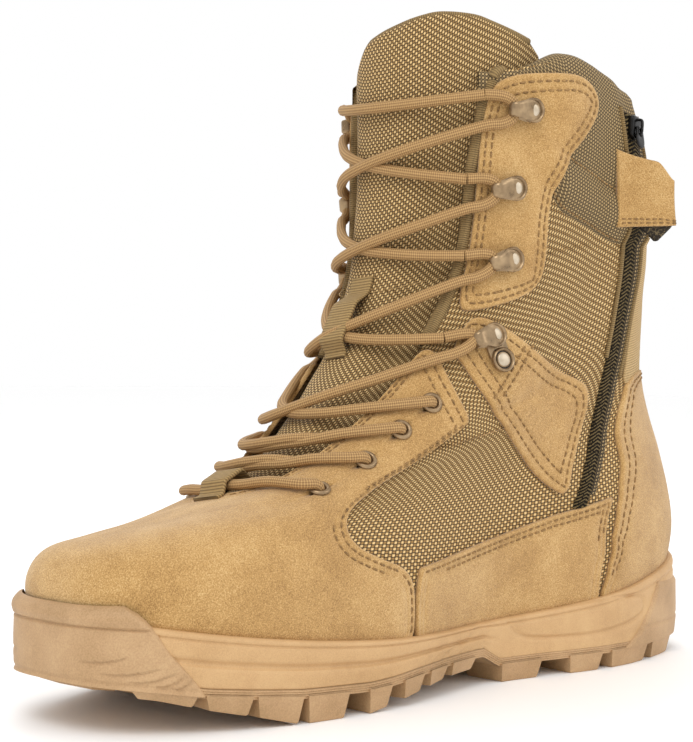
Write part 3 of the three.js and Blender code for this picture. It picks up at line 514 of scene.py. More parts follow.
def ribbed_paint(name, slot, pitch, pale, deep):
    paint = Paint(name, slot)
    x, y, _ = paint.along("cloth")
    rib = (x / pitch * math.pi).sine().size()
    grain = (y / 0.45 * math.pi).sine().size()
    height = rib * 0.75 + grain * 0.25
    colour = paint.mix(linear(deep), linear(pale), height.ramp(0.15, 0.9) * 0.8 + paint.noise(500.0) * 0.3)
    return paint.set(Base_Color=colour, Roughness=0.85, Normal=paint.bump(height, 0.0003, 0.9))


webbing = ribbed_paint("webbing", "webbing", 1.1, "a88a58", "5f4a2b")
binding = ribbed_paint("binding", "webbing", 0.8, "94794c", "544225")
thread = Paint("thread", "suede")
thread.set(Base_Color=thread.mix(linear("6a4e2b"), linear("a98450"), thread.noise(900.0).ramp(0.3, 0.7)),
           Roughness=0.8, Normal=thread.bump(thread.noise(2500.0), 0.0002))

# %% [markdown]
# Now the tools that make meshes. Nearly everything is a grid of points skinned with quads, because a
# grid carries its cloth coordinates with it and closes on itself where the real piece does. Lines
# are resampled to even steps and have their corners cut off, so that no kink shows at an edge.

# %% Meshes, grids and lines
BOOT = "boot"


def mesh(name, points, faces, paint, body=BOOT, attributes=None):
    """A piece of the picture from points in millimetres, with its paint and on its body."""
    data = bpy.data.meshes.new(name)
    data.from_pydata(((np.asarray(points, float) + SHIFT) * MM).tolist(), [], faces)
    for key, values in (attributes or {}).items():
        data.attributes.new(key, "FLOAT_VECTOR", "POINT").data.foreach_set(
            "vector", np.asarray(values, np.float32).ravel())
    data.validate()
    data.polygons.foreach_set("use_smooth", [True] * len(data.polygons))
    data.materials.append(paint.material)
    piece = bpy.data.objects.new(name, data)
    bpy.context.scene.collection.objects.link(piece)
    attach(piece, body)
    return piece


def grid_faces(rows, columns, close_rows=False, close_columns=False, start=0):
    """Quads between the points of a grid."""
    i = np.arange(rows if close_rows else rows - 1)[:, None]
    j = np.arange(columns if close_columns else columns - 1)[None, :]
    i2, j2 = (i + 1) % rows, (j + 1) % columns
    quads = np.stack(np.broadcast_arrays(i * columns + j, i * columns + j2, i2 * columns + j2,
                                         i2 * columns + j), -1)
    return (quads.reshape(-1, 4) + start).tolist()


def capped_tube(rows, sides, start):
    """The faces of a tube that is closed at both ends."""
    last = start + (rows - 1) * sides
    ends = [list(range(start + sides - 1, start - 1, -1)), list(range(last, last + sides))]
    return grid_faces(rows, sides, close_columns=True, start=start) + ends


def cloth_grid(along, across):
    """Cloth coordinates of a grid from a length for each row and a place for each column."""
    return np.stack(np.broadcast_arrays(along, across, 0.0), -1)


def lengths_along(line):
    """How far along a line each of its points lies."""
    return np.concatenate([[0], np.linalg.norm(np.diff(line, axis=0), axis=1).cumsum()])


def spaced(values, count):
    """Numbers at even steps through a list of values."""
    return np.interp(np.linspace(0, len(values) - 1, count), np.arange(len(values)), values)


def grid_mesh(name, points, paint, attribute=None, close_rows=False, close_columns=False, flip=False,
              **more):
    rows, columns = points.shape[:2]
    faces = grid_faces(rows, columns, close_rows, close_columns)
    if flip:
        faces = [face[::-1] for face in faces]
    attributes = {} if attribute is None else {"cloth": attribute.reshape(-1, 3)}
    return mesh(name, points.reshape(-1, 3), faces, paint, attributes=attributes, **more)


def resample(line, step, closed=True):
    """Points at even steps along a line."""
    line = np.asarray(line, float)
    if closed:
        line = np.concatenate([line, line[:1]])
    lengths = lengths_along(line)
    count = max(3, int(round(lengths[-1] / step)))
    at = np.linspace(0, lengths[-1], count + 1)[:count if closed else count + 1]
    return np.stack([np.interp(at, lengths, line[:, k]) for k in range(line.shape[1])], -1)


def rounded(line, rounds=2, closed=True):
    """Corners cut off again and again, which leaves a curve."""
    line = np.asarray(line, float)
    for _ in range(rounds):
        following = np.roll(line, -1, 0) if closed else line[1:]
        first = line if closed else line[:-1]
        pairs = np.stack([first * 0.75 + following * 0.25, first * 0.25 + following * 0.75], 1)
        pairs = pairs.reshape(-1, line.shape[1])
        line = pairs if closed else np.concatenate([line[:1], pairs, line[-1:]])
    return line


def distance_to(points, line):
    """How far points in the plane lie from a closed line."""
    start, end = line, np.roll(line, -1, 0)
    best = np.full(len(points), 1e9)
    for a, b in zip(start, end):
        step = b - a
        f = np.clip(((points - a) @ step) / max(step @ step, 1e-9), 0, 1)
        best = np.minimum(best, np.linalg.norm(points - (a + f[:, None] * step), axis=1))
    return best


def inside(points, line):
    """Which points in the plane lie within a closed line."""
    result = np.zeros(len(points), bool)
    for (x0, y0), (x1, y1) in zip(line, np.roll(line, -1, 0)):
        if y0 != y1:
            crosses = (points[:, 1] < y0) != (points[:, 1] < y1)
            result ^= crosses & (points[:, 0] < x0 + (points[:, 1] - y0) * (x1 - x0) / (y1 - y0))
    return result


def inset(line, distance):
    """The outline moved inwards, without the points where it would fold over itself."""
    step = unit(np.roll(line, -1, 0) - np.roll(line, 1, 0))
    area = np.sum(line[:, 0] * np.roll(line[:, 1], -1) - line[:, 1] * np.roll(line[:, 0], -1))
    side = np.stack([-step[:, 1], step[:, 0]], -1) * (1 if area > 0 else -1)
    moved = line + side * distance
    return moved[distance_to(moved, line) > 0.94 * distance]


# %% [markdown]
# A panel is the way leather is cut. Its outline is drawn flat, filled with small triangles, and laid
# on the form. A grid would need its edges bent to the outline, while triangles take any outline and
# any hole. The cut edge is rounded over a fraction of a millimetre, and stitching dents the surface.

# %% Panels
SUEDE = 1.5
LIFT = 0.3
STITCH_INSETS = (2.0, 4.3)
STITCH_DENT = 0.3
DENT_WIDTH = 0.55
CUT_STEP = 1.4  # millimetres between the points along a cut edge
EVEN_TRIANGLE = 0.87  # the height of an even triangle over its side


def panel(name, outline, paint, thickness=SUEDE, pitch=2.4, corner_rounds=2, edge=0.7, rows=STITCH_INSETS,
          holes=(), keep_corners=False):
    """A piece of leather or cloth on the form, cut by an outline of height shares and angles."""
    line = flat(*np.array(outline, float).T)
    line = resample(line if keep_corners else rounded(line, corner_rounds), CUT_STEP)
    insets = [0.12, 0.35, edge, *[r + d for r in rows for d in (-0.5, 0, 0.5)]]
    low, high = line.min(0), line.max(0)
    xs, ys = np.meshgrid(np.arange(low[0], high[0], pitch),
                         np.arange(low[1], high[1], pitch * EVEN_TRIANGLE))
    xs = xs + (np.arange(xs.shape[0]) % 2)[:, None] * pitch / 2
    filling = np.stack([xs.ravel(), ys.ravel()], -1)
    filling = filling[inside(filling, line)]
    deep = max(insets) + 0.6
    filling = filling[distance_to(filling, line) > deep]
    punched = []
    for (t, angle, radius) in holes:
        centre = flat(np.array([t]), np.array([angle]))[0]
        turn = np.radians(np.arange(0, 360, 15))
        circle = centre + radius * np.stack([np.cos(turn), np.sin(turn)], -1)
        filling = filling[np.linalg.norm(filling - centre, axis=1) > radius + 0.8]
        punched.append((centre, radius, circle))
    rings = [inset(line, distance) for distance in insets]
    for centre, radius, _ in punched:
        rings = [ring[np.linalg.norm(ring - centre, axis=1) > radius + 0.4] for ring in rings]
    points = [line, *[circle for _, _, circle in punched]]
    edges, count = [], 0
    for loop in points:
        edges += [(count + i, count + (i + 1) % len(loop)) for i in range(len(loop))]
        count += len(loop)
    everything = np.concatenate([*points, *rings, filling])
    found, _, triangles, *_ = delaunay_2d_cdt([Vector(p) for p in everything], edges, [], 1, 1e-4)
    found = np.array([tuple(p) for p in found])
    triangles = np.array([tuple(f) for f in triangles if len(f) == 3])
    middles = found[triangles].mean(1)
    for centre, radius, _ in punched:
        keep = np.linalg.norm(middles - centre, axis=1) > radius * 0.99
        triangles, middles = triangles[keep], middles[keep]
    depth = distance_to(found, line)
    for centre, radius, _ in punched:
        depth = np.minimum(depth, np.abs(np.linalg.norm(found - centre, axis=1) - radius))
    share = np.clip(depth / edge, 0, 1)
    out = LIFT + thickness * (0.35 + 0.65 * np.sqrt(1 - (1 - share) ** 2))
    for row in rows:
        out = out - STITCH_DENT * hump(depth - row, DENT_WIDTH)
    t, angle = unflat(found)
    top = skin(t, angle, out)
    bottom = skin(t, angle)
    count = len(found)
    corners = np.concatenate([triangles[:, [0, 1]], triangles[:, [1, 2]], triangles[:, [2, 0]]])
    keys = corners[:, 0] * count + corners[:, 1]
    back = corners[:, 1] * count + corners[:, 0]
    rim = corners[~np.isin(keys, back)]
    faces = triangles.tolist() + (triangles[:, ::-1] + count).tolist()
    faces += [[b, a, a + count, b + count] for a, b in rim.tolist()]
    pattern = np.tile(whole_cloth(t, angle), (2, 1))
    piece = mesh(name, np.concatenate([top, bottom]), facing_out(top, triangles, faces, t, angle), paint,
                 attributes={"cloth": pattern})
    return piece, line


def facing_out(points, triangles, faces, t, angle):
    """The faces, turned over if their first triangles look inwards."""
    a, b, c = (points[triangles[:200, k]] for k in range(3))
    towards = normal(t, angle)[triangles[:200, 0]]
    if np.sum(np.cross(b - a, c - a) * towards) < 0:
        return [face[::-1] for face in faces]
    return faces


# %% [markdown]
# Stitches are real little capsules, placed one by one along the inset outline. They are all
# gathered first and become one mesh at the end, which keeps the scene light.

# %% Stitches
STITCH_LENGTH = 2.5
STITCH_STEP = 3.3
STITCH_RADIUS = 0.42
LINE_JUMP = 6.5  # a longer step between two points means that the line starts anew
gathered = {}


def capsule(length, radius):
    """One stitch: a short rounded thread that sinks in at both ends."""
    shares = np.array([-0.5, -0.36, 0, 0.36, 0.5])
    sizes = np.array([0.25, 0.85, 1, 0.85, 0.25]) * radius
    sink = np.array([-0.45, -0.05, 0.05, -0.05, -0.45]) * radius
    turn = np.radians(np.arange(0, 360, 60))
    points = np.stack([
        np.repeat(shares * length, 6),
        (sizes[:, None] * np.cos(turn)).ravel(),
        (sizes[:, None] * np.sin(turn) + sink[:, None]).ravel()], -1)
    faces = grid_faces(5, 6, close_columns=True)
    return points, faces + [[5, 4, 3, 2, 1, 0], [24, 25, 26, 27, 28, 29]]


def sew(group, t, angle, out, step=STITCH_STEP, length=STITCH_LENGTH, radius=STITCH_RADIUS):
    """Stitches along a line that is given by its places on the form."""
    points = skin(t, angle, out)
    up = normal(t, angle)
    line = np.concatenate([points, up], 1)
    lengths = lengths_along(points)
    if lengths[-1] < step:
        return
    at = np.arange(step / 2, lengths[-1], step)
    along = [np.stack([np.interp(s, lengths, line[:, k]) for k in range(6)], -1)
             for s in (at - 0.4, at, at + 0.4)]
    tangent = unit(along[2][:, :3] - along[0][:, :3])
    upright = unit(along[1][:, 3:])
    aside = unit(np.cross(upright, tangent))
    gathered.setdefault(group, []).append((along[1][:, :3], tangent, aside, upright, length, radius))


def knit_stitches(group, paint, body=BOOT):
    """Turns everything that was sewn for a group into one mesh."""
    points, faces, count = [], [], 0
    for centre, tangent, aside, upright, length, radius in gathered[group]:
        shape, shape_faces = capsule(length, radius)
        placed = centre[:, None] + shape[None, :, :1] * tangent[:, None]
        placed += shape[None, :, 1:2] * aside[:, None]
        placed += shape[None, :, 2:] * upright[:, None]
        points.append(placed.reshape(-1, 3))
        for k in range(len(centre)):
            faces += [[i + count + k * len(shape) for i in face] for face in shape_faces]
        count += len(centre) * len(shape)
    print(group, "stitches", count // 30)
    return mesh(group, np.concatenate(points), faces, paint, body)


def sew_round(group, line, rows=STITCH_INSETS, where=None, out=LIFT + SUEDE):
    """Rows of stitches inside a panel's outline, only where the rule says so."""
    for row in rows:
        moved = inset(line, row)
        t, angle = unflat(moved)
        keep = inside(moved, line) & (True if where is None else where(t, angle))
        broken = ~keep | (np.linalg.norm(moved - np.roll(moved, 1, 0), axis=1) > LINE_JUMP)
        order = np.roll(np.arange(len(t)), -int(np.argmax(broken)))
        if not broken.any():
            order = np.append(order, order[0])
        ends = broken[order][1:] | ~keep[order][:-1]
        runs = np.split(order, np.flatnonzero(ends) + 1)
        runs = [run for run in runs if keep[run[0]] and len(run) > 2]
        for run in runs:
            sew(group, t[run], angle[run], out - 0.1)


# %% [markdown]
# The shell under all the leather is the ballistic cloth. It is open along the throat, so every row
# of its grid runs from one throat edge round the heel to the other.

# %% The cloth shell
THROAT = ([0, 0.405, 0.415, 0.435, 0.468, 0.55, 0.625, 0.73, 0.85, 0.945, 1, 1.12],
          [0, 0, 17, 23, 27, 35, 40, 44, 44, 48, 54, 60])
WALL = 2.6
PADDING = 5.5


def throat_half(t):
    """The angle of the throat's edge at each height share."""
    return np.interp(t, *THROAT)


def wrapped_rows(t, columns=301):
    """A grid of places from one throat edge round the heel to the other."""
    share = np.linspace(0, 1, columns)[None, :]
    half = np.maximum(throat_half(t), 0)[:, None]
    return np.broadcast_to(t[:, None], (len(t), columns)), half + (360 - 2 * half) * share


shell_t, shell_a = wrapped_rows(np.linspace(0.0, 0.99, 150))
shell_t = brim(shell_t, shell_a)
grid_mesh("upper_shell", skin(shell_t, shell_a, 0.0), side_ballistic, side_cloth(shell_t, shell_a))

lining_t, lining_a = wrapped_rows(np.linspace(0.0, 0.99, 90))
lining_t = brim(lining_t, lining_a)
thick = WALL + PADDING * smooth(0.72, 0.82, lining_t) * smooth(62, 84, np.abs(signed(lining_a)))
inner_wall = form(lining_t, lining_a) - normal(lining_t, lining_a) * thick[..., None]
grid_mesh("lining", inner_wall, lining_cloth, whole_cloth(lining_t, lining_a), flip=True)
print("shell points", shell_t.size)

# %% [markdown]
# The overlays are one suede vamp with both eyestays, a strip along the sole, a strap over the ankle,
# a panel for the hooks and the heel counter. Their outlines are listed as height share and angle.

# %% Suede overlays
EYELETS = [(0.362, 43.8), (0.43, 47.2), (0.485, 50.5), (0.525, 55)]
EYELET_HOLE = 2.4
SIDES = (("medial", -1), ("lateral", 1))
VAMP_EDGE = [(-0.01, 77), (0.08, 76.8), (0.135, 75), (0.165, 68), (0.195, 62.8), (0.25, 59.3),
             (0.30, 58.8), (0.343, 59.8), (0.4, 64), (0.44, 68.5), (0.458, 72), (0.5, 66.5),
             (0.57, 55.2), (0.61, 48.5), (0.628, 43.5), (0.626, 40.3), (0.6, 38.5), (0.55, 35),
             (0.51, 31), (0.468, 27), (0.435, 23), (0.42, 18), (0.414, 10)]


def mirrored(rows):
    """The same places on the other side."""
    return [(t, -angle) for t, angle in rows]


def round_heel(half, foot, first):
    """Half an outline with its mirror image past the heel, closed along its foot."""
    mirror = [(t, 360 - angle) for t, angle in half[-2::-1]]
    return half + mirror + [(foot, angle) for angle in range(first, 359 - first, -10)]


vamp_outline = [(-0.01, angle) for angle in range(-70, 75, 10)] + VAMP_EDGE + mirrored(VAMP_EDGE[::-1])
eyelet_holes = [(t, sign * angle, EYELET_HOLE) for t, angle in EYELETS for _, sign in SIDES]
_, vamp_line = panel("vamp_leather", vamp_outline, suede, holes=eyelet_holes, pitch=2.6)
sew_round("overlay_stitches", vamp_line, where=lambda t, a: (t > 0.13) & ((np.abs(a) > 57) | (t > 0.45)))
sew_round("overlay_stitches", vamp_line, rows=(2.0,),
          where=lambda t, a: ((t > 0.02) & (t <= 0.13)) | ((t > 0.405) & (t <= 0.45) & (np.abs(a) < 57)))

STRIP = [(-0.01, 78), (0.135, 77.6), (0.168, 96), (0.19, 108), (0.202, 121.6), (0.1, 119.5), (-0.01, 119.4)]
STRAP = [(0.655, 52.5), (0.66, 57), (0.625, 69), (0.572, 82), (0.51, 96), (0.477, 105), (0.446, 111),
         (0.34, 111.3), (0.214, 111), (0.25, 105), (0.33, 96), (0.44, 82), (0.525, 69), (0.592, 57),
         (0.612, 52.5)]
HOOK_PANEL = [(0.668, -51), (0.668, -72), (0.69, -76.5), (0.73, -75.5), (0.785, -73.5), (0.835, -77),
              (0.863, -81.2), (0.9, -89), (0.935, -95), (0.96, -94.5), (0.975, -88), (0.968, -75),
              (0.96, -58), (0.945, -50), (0.9, -46.5), (0.835, -45.5), (0.73, -45.5), (0.69, -47)]
for side, sign in SIDES:
    _, line = panel(f"side_strip_leather_{side}", [(t, sign * a) for t, a in STRIP], suede,
                    keep_corners=True)
    sew_round("overlay_stitches", line, where=lambda t, a: t > 0.125)
    _, line = panel(f"ankle_strap_leather_{side}", [(t, sign * a) for t, a in STRAP], suede)
    sew_round("overlay_stitches", line)
    for shift in (0.0, 3.0):
        across = np.linspace(0, 1, 15)
        sew("overlay_stitches", 0.582 - 0.088 * across, sign * (78.5 - 3.5 * across + shift),
            LIFT + SUEDE + 0.2)
    _, line = panel(f"hook_panel_leather_{side}", [(t, -sign * a) for t, a in HOOK_PANEL], suede)
    sew_round("overlay_stitches", line)

COUNTER = [(-0.01, 120), (0.1, 120), (0.2, 123), (0.3, 124.2), (0.4, 125.6), (0.44, 127), (0.445, 140),
           (0.42, 165), (0.415, 180)]
_, line = panel("heel_counter_leather", round_heel(COUNTER, -0.01, 235), suede, pitch=2.8,
                corner_rounds=1)
sew_round("overlay_stitches", line, where=lambda t, a: t > 0.05)
knit_stitches("overlay_stitches", thread)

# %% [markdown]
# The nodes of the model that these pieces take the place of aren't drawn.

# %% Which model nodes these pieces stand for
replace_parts(bpy.data.objects["upper_shell"], "upper")
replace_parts(bpy.data.objects["vamp_leather"], "vamp")
for side, _ in SIDES:
    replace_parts(bpy.data.objects[f"side_strip_leather_{side}"], f"side_strip_{side}")
    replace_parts(bpy.data.objects[f"ankle_strap_leather_{side}"], f"ankle_strap_{side}")
    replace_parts(bpy.data.objects[f"hook_panel_leather_{side}"], f"hook_panel_{side}")
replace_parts(bpy.data.objects["heel_counter_leather"], "heel_counter")

# %% [markdown]
# The collar is padded: two rolls of foam under fine mesh cloth, sewn down along two seams. One sheet
# runs from the lower seam up, over the lip and down inside, so that the lip has no edge.

# %% Padded collar
COLLAR_FRONT = 46
LIP = 0.985


def lip_path(columns_share, outer_rows=34, lip_rows=9, inner_rows=14):
    """Rows of the collar from its lower seam, over the lip, to the inside."""
    rows = []
    angle = COLLAR_FRONT + (360 - 2 * COLLAR_FRONT) * columns_share
    start = collar_seam(signed(angle)) - 0.004
    for share in np.linspace(0, 1, outer_rows):
        t = start + (brim(LIP, angle) - start) * share
        lift = 0.35 * min(1.0, share * 12)
        rows.append(skin(t, angle, lift))
    depth = WALL + PADDING * smooth(62, 84, np.abs(signed(angle)))
    top = brim(LIP, angle)
    top_out = skin(top, angle, 0.35)
    inner = form(top, angle) - normal(top, angle) * (depth + 0.4)[..., None]
    middle = (top_out + inner) / 2
    arm = (top_out - inner) / 2
    rise = np.linalg.norm(arm, axis=-1, keepdims=True) * np.array([0, 0, 1.0]) * 0.9
    for turn in np.linspace(0, math.pi, lip_rows)[1:-1]:
        rows.append(middle + arm * math.cos(turn) + rise * math.sin(turn))
    for share in np.linspace(0, 1, inner_rows):
        t = top + (0.8 - top) * share
        puff = depth + 0.4 + 0.8 * swelling((t - 0.8) / 0.2)
        rows.append(form(t, angle) - normal(t, angle) * puff[..., None])
    return np.stack(rows), angle


collar_points, collar_angles = lip_path(np.linspace(0, 1, 281))
step = np.linalg.norm(np.diff(collar_points, axis=0), axis=-1)
heights = np.concatenate([np.zeros((1, step.shape[1])), step.cumsum(0)])
collar_lengths = whole_cloth(0.9, collar_angles)[:, 0]
collar = grid_mesh("collar_padding", collar_points, collar_cloth, cloth_grid(collar_lengths, heights))
for seam in (collar_seam, middle_seam):
    for first, end in ((76, 111), (124, 236), (250, 285)):
        run = np.arange(first, end, 1.0)
        sew("collar_stitches", seam(signed(run)) + 0.002, run, 0.45, 2.6, 2.0, 0.34)
knit_stitches("collar_stitches", thread)


# %% [markdown]
# Cords, bindings and laces are tubes that follow a line. The tube carries the length along it and the
# place round it as its cloth coordinates, for ribs and braids.

# %% Tubes
def curve(points, step=1.0):
    """A smooth line through points, resampled evenly."""
    points = np.asarray(points, float)
    padded_points = np.concatenate([2 * points[:1] - points[1:2], points, 2 * points[-1:] - points[-2:-1]])
    pieces = []
    for i in range(len(points) - 1):
        a, b, c, d = padded_points[i:i + 4]
        f = np.linspace(0, 1, 17)[:-1, None]
        pieces.append((2 * b + (c - a) * f + (2 * a - 5 * b + 4 * c - d) * f ** 2
                       + (3 * b - a - 3 * c + d) * f ** 3) / 2)
    return resample(np.concatenate(pieces + [points[-1:]]), step, closed=False)


def tube_grid(line, radius, sides=10, flat_share=1.0, towards=None):
    """Rings round a line. The rings are flattened along the direction towards."""
    tangent = unit(np.gradient(line, axis=0))
    if towards is None:
        towards = np.broadcast_to(np.array([0.3, -0.2, 1.0]), line.shape)
    aside = unit(np.cross(tangent, towards))
    above = unit(np.cross(aside, tangent))
    turn = np.radians(np.arange(sides) * 360 / sides)
    radius = np.broadcast_to(np.asarray(radius, float), (len(line),))[:, None, None]
    ring = aside[:, None] * np.cos(turn)[None, :, None]
    ring = ring + above[:, None] * np.sin(turn)[None, :, None] * flat_share
    fold = 1 - np.abs(turn / math.pi - 1)
    return line[:, None] + ring * radius, cloth_grid(lengths_along(line)[:, None], fold[None, :])


def tubes(name, parts, paint, body=BOOT):
    """Several tubes in one mesh, each closed at both ends."""
    points, patterns, faces, count = [], [], [], 0
    for grid, pattern in parts:
        rows, sides = grid.shape[:2]
        faces += capped_tube(rows, sides, count)
        points.append(grid.reshape(-1, 3))
        patterns.append(pattern.reshape(-1, 3))
        count += rows * sides
    return mesh(name, np.concatenate(points), faces, paint, body, {"cloth": np.concatenate(patterns)})


# Binding down both edges of the throat and over the collar's front corners
for side, sign in SIDES:
    t = np.concatenate([np.linspace(0.64, LIP, 60), [0.99, 0.98, 0.95]])
    angle = np.interp(t, *THROAT) - 0.5
    angle[60:] = [55.5, 57.5, 58]
    out = np.concatenate([np.full(60, -1.0), [-2.2, -4.0, -4.6]])
    t = brim(t, angle)
    line = curve(form(t, sign * angle) + normal(t, sign * angle) * out[:, None], 1.2)
    tubes(f"throat_binding_{side}", [tube_grid(line, 2.4, 12, 0.9)], binding)

# %% [markdown]
# The tongue is a padded sheet under the eyestays. It swells between them and ends in a thick roll
# that leans out over the laces.

# %% Tongue
TONGUE_LINE = ([0.365, 0.415, 0.44, 0.5, 0.56, 0.62, 1.0, 1.0232], [0, 0, 0.25, 0.7, 0.85, 1, 1, 0.9])
CREST_DROP = ([-80, -72, -62, -45, -30, -20, 0, 10, 18, 30, 63], [13, 6.5, 5, 0.5, 0, 2, 7, 10, 17, 24, 27])
TONGUE_UNDER = -WALL - 1.08
TONGUE_BULGE = 3.8
tongue_t = np.linspace(0.37, 1.018, 150)
tongue_share = np.linspace(-1, 1, 91)[None, :]


def tongue_face(t, share, depth):
    """The tongue's outer face, or its inner one at a depth, and its cloth coordinates."""
    t = t[:, None] + 0 * share
    half = throat_half(t) + 9 * (1 - 0.25 * smooth(0.9, 1, t))
    wing = 16 * smooth(0.96, 1.01, t)
    angle = share * half - wing * (1 - share) / 2
    free = 1 - smooth(0.25, 0.75, np.abs(angle) / throat_half(t))
    bulge = np.interp(t, *TONGUE_LINE)
    thin = 1 - 0.6 * smooth(0.6, 1, np.abs(share))
    puff = 0.6 * np.sin(np.clip((t - 0.5) / 0.42, 0, 1) * math.pi * 5) ** 2 * free
    tucked = PADDING * smooth(-56, -84, angle)
    out = TONGUE_UNDER - tucked + TONGUE_BULGE * bulge * free + puff * 0.5 - depth * thin
    t = t - np.clip((t - 0.85) / 0.1732, 0, 1) * np.interp(angle, *CREST_DROP) / 370
    return form(t, angle) + normal(t, angle) * out[..., None], cloth(t, angle)


outer, outer_cloth = tongue_face(tongue_t, tongue_share, 0.0)
inner, inner_cloth = tongue_face(tongue_t, tongue_share, 5.0)
crest = np.stack([(outer[-1] * (1 + math.cos(a)) + inner[-1] * (1 - math.cos(a))) / 2
                  + np.array([0, 0, 2.0]) * math.sin(a)
                  for a in np.linspace(0, math.pi, 9)[1:-1]])
crest_steps = np.arange(1, len(crest) + 1)[:, None, None] * np.array([0, 0.9, 0])
crest_cloth = np.repeat(outer_cloth[-1:], len(crest), 0) + crest_steps
tongue = grid_mesh("tongue_pad", np.concatenate([outer, crest, inner[::-1]]), ballistic,
                   np.concatenate([outer_cloth, crest_cloth, inner_cloth[::-1]]))
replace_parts(tongue, "tongue")
crest_line = curve((outer[-1, 4:-4:4] + inner[-1, 4:-4:4]) / 2 + np.array([0, 0, 1.2]), 1.2)
tubes("tongue_binding", [tube_grid(crest_line, 1.7, 10)], binding)
print("tongue rows and columns", outer.shape[:2])

# %% [markdown]
# The sole is moulded rubber: nearly even in colour, with a dull shine and a fine grain from the
# mould. Its tread stands on the floor at the heel and the ball only, so the height of the tread over
# the floor and the depth of the lugs are written down along the boot.

# %% Rubber
CUP_DEPTH = 5.0
RIM_WIDTH = 4.4
TOE_SPRING = 14.5
LUG_DEPTH = 7.5
OUTSOLE_BAND = 3.0
TREAD = np.array([
    [-0.5, 1, 0.25], [-0.43, 0.78, 0.3], [-0.383, 0.52, 0.5], [-0.33, 0.28, 0.75], [-0.275, 0, 1.1],
    [-0.18, 0, 1], [-0.15, 0.12, 0.85], [-0.1, 0.28, 0.72], [-0.045, 0.43, 0.55], [0.018, 0.48, 0.48],
    [0.04, 0.48, 0.48], [0.071, 0, 0.8], [0.435, 0, 0.8], [0.5, 0.2, 0.8]])


def ground_at(x):
    """How high the tread stands over the floor along the boot."""
    return TOE_SPRING * np.interp(x / BOOT_LENGTH, TREAD[:, 0], TREAD[:, 1])


def underside_at(x):
    return ground_at(x) + LUG_DEPTH * np.interp(x / BOOT_LENGTH, TREAD[:, 0], TREAD[:, 2])


def band_top_at(x):
    return underside_at(x) + OUTSOLE_BAND


def rubber_paint(name, slot, base, shade, light, grain):
    paint = Paint(name, slot)
    clouds = paint.noise(45.0, 4.0)
    fine = paint.noise(grain, 2.0)
    tone = clouds.ramp(0.3, 0.7) * 0.6 + fine.ramp(0.3, 0.7) * 0.4
    colour = paint.mix(linear(shade), linear(base), tone.ramp(0.1, 0.55))
    colour = paint.mix(colour, linear(light), tone.ramp(0.55, 1.0))
    return paint.set(Base_Color=colour, Roughness=fine.ramp(0.3, 0.7, 0.5, 0.66), Specular_IOR_Level=0.4,
                     Normal=paint.bump(fine, 0.00012, 0.8))


rubber = rubber_paint("sole_rubber", "rubber", "b5926a", "9d7c53", "c5a47a", 1800.0)
foam = rubber_paint("midsole_rubber", "foam_rubber", "c59f70", "b38d5f", "cfac7c", 2400.0)


# %% [markdown]
# The midsole's side is one swept profile with a long groove, and shallow lines are pressed into it
# along drawn curves: each point sinks by how near it is to a curve. A bump would be lighter, but the
# lines are deep enough to be seen at the sole's edge.

# %% Midsole


def near_lines(points, lines):
    """How far points lie from the nearest of some open lines."""
    best = np.full(points.shape[:-1], 1e9)
    for line in lines:
        for a, b in zip(np.array(line[:-1], float), np.array(line[1:], float)):
            step = b - a
            f = np.clip(((points - a) @ step) / (step @ step), 0, 1)
            best = np.minimum(best, np.linalg.norm(points - (a + f[..., None] * step), axis=-1))
    return best


HEEL_PANEL = rounded([(24, 24.5), (52, 26), (100, 27.5), (106, 21.5), (100, 17.5), (73, 13.7), (39, 14.6),
                      (31, 17)], 3)
HEEL_PANEL = np.concatenate([HEEL_PANEL, HEEL_PANEL[:1]])
ARCH_LINE = [(-14, 15), (2, 18), (14, 24), (19, 31)]
PROFILE = [(0, 0.9), (0.02, 1.0), (0.12, 1.04), (0.24, 1.07), (0.34, 1.06), (0.385, 1.0), (0.42, 0.84),
           (0.455, 0.79), (0.49, 0.83), (0.53, 0.96), (0.57, 1.02), (0.66, 1.03), (0.76, 1.0),
           (0.83, 0.97), (0.85, 0.9), (0.875, 0.9), (0.895, 0.99), (0.93, 1.0), (0.97, 0.94),
           (1.0, 0.8), (1.01, 0.55), (1.0, 0.12)]
sole_angles = np.arange(0.0, 360.0, 0.75)
flat_sole_angle = signed(sole_angles)
profile_up, profile_out = (spaced(column, 64) for column in zip(*PROFILE))
rim_top = form(0.01, sole_angles)[:, 2]


def sole_side(angles, up, out, low, high):
    """Points of the sole's side wall: up is a share of the height there."""
    points = sole_line(signed(angles), 0.0)
    outward = sole_line(signed(angles), 1.0) - points
    result = points[None] + outward[None] * np.asarray(out)[..., None]
    result[..., 2] = low[None] + (high - low)[None] * up
    return result


base_line = sole_line(flat_sole_angle, RIM_WIDTH)
band_top = band_top_at(base_line[:, 0])
groove_fades = smooth(-150, -118, base_line[:, 0]) * (1 - smooth(8, 24, base_line[:, 0]))
low_wall = profile_up < 0.8
plain_out = np.where(low_wall, 1.02, profile_out)
carved = np.where(low_wall[:, None], groove_fades[None], 1)
out_shares = plain_out[:, None] + (profile_out - plain_out)[:, None] * carved
wall = sole_side(sole_angles, profile_up[:, None], RIM_WIDTH * out_shares, band_top, rim_top)
side_view = wall[..., [0, 2]]
pressed = 0.9 * hump(near_lines(side_view, [HEEL_PANEL]), 0.75)
pressed += 0.6 * hump(near_lines(side_view, [ARCH_LINE]), 0.7)
hatch = 0.28 * np.sin((side_view[..., 0] * 0.8 + side_view[..., 1]) * 2 * math.pi / 2.3)
in_arch = smooth(-34, -26, side_view[..., 0]) * (1 - smooth(10, 20, side_view[..., 0]))
in_arch *= (profile_up[:, None] < 0.4) & (profile_up[:, None] > 0.05)
outward = sole_line(flat_sole_angle, 1.0) - sole_line(flat_sole_angle, 0.0)
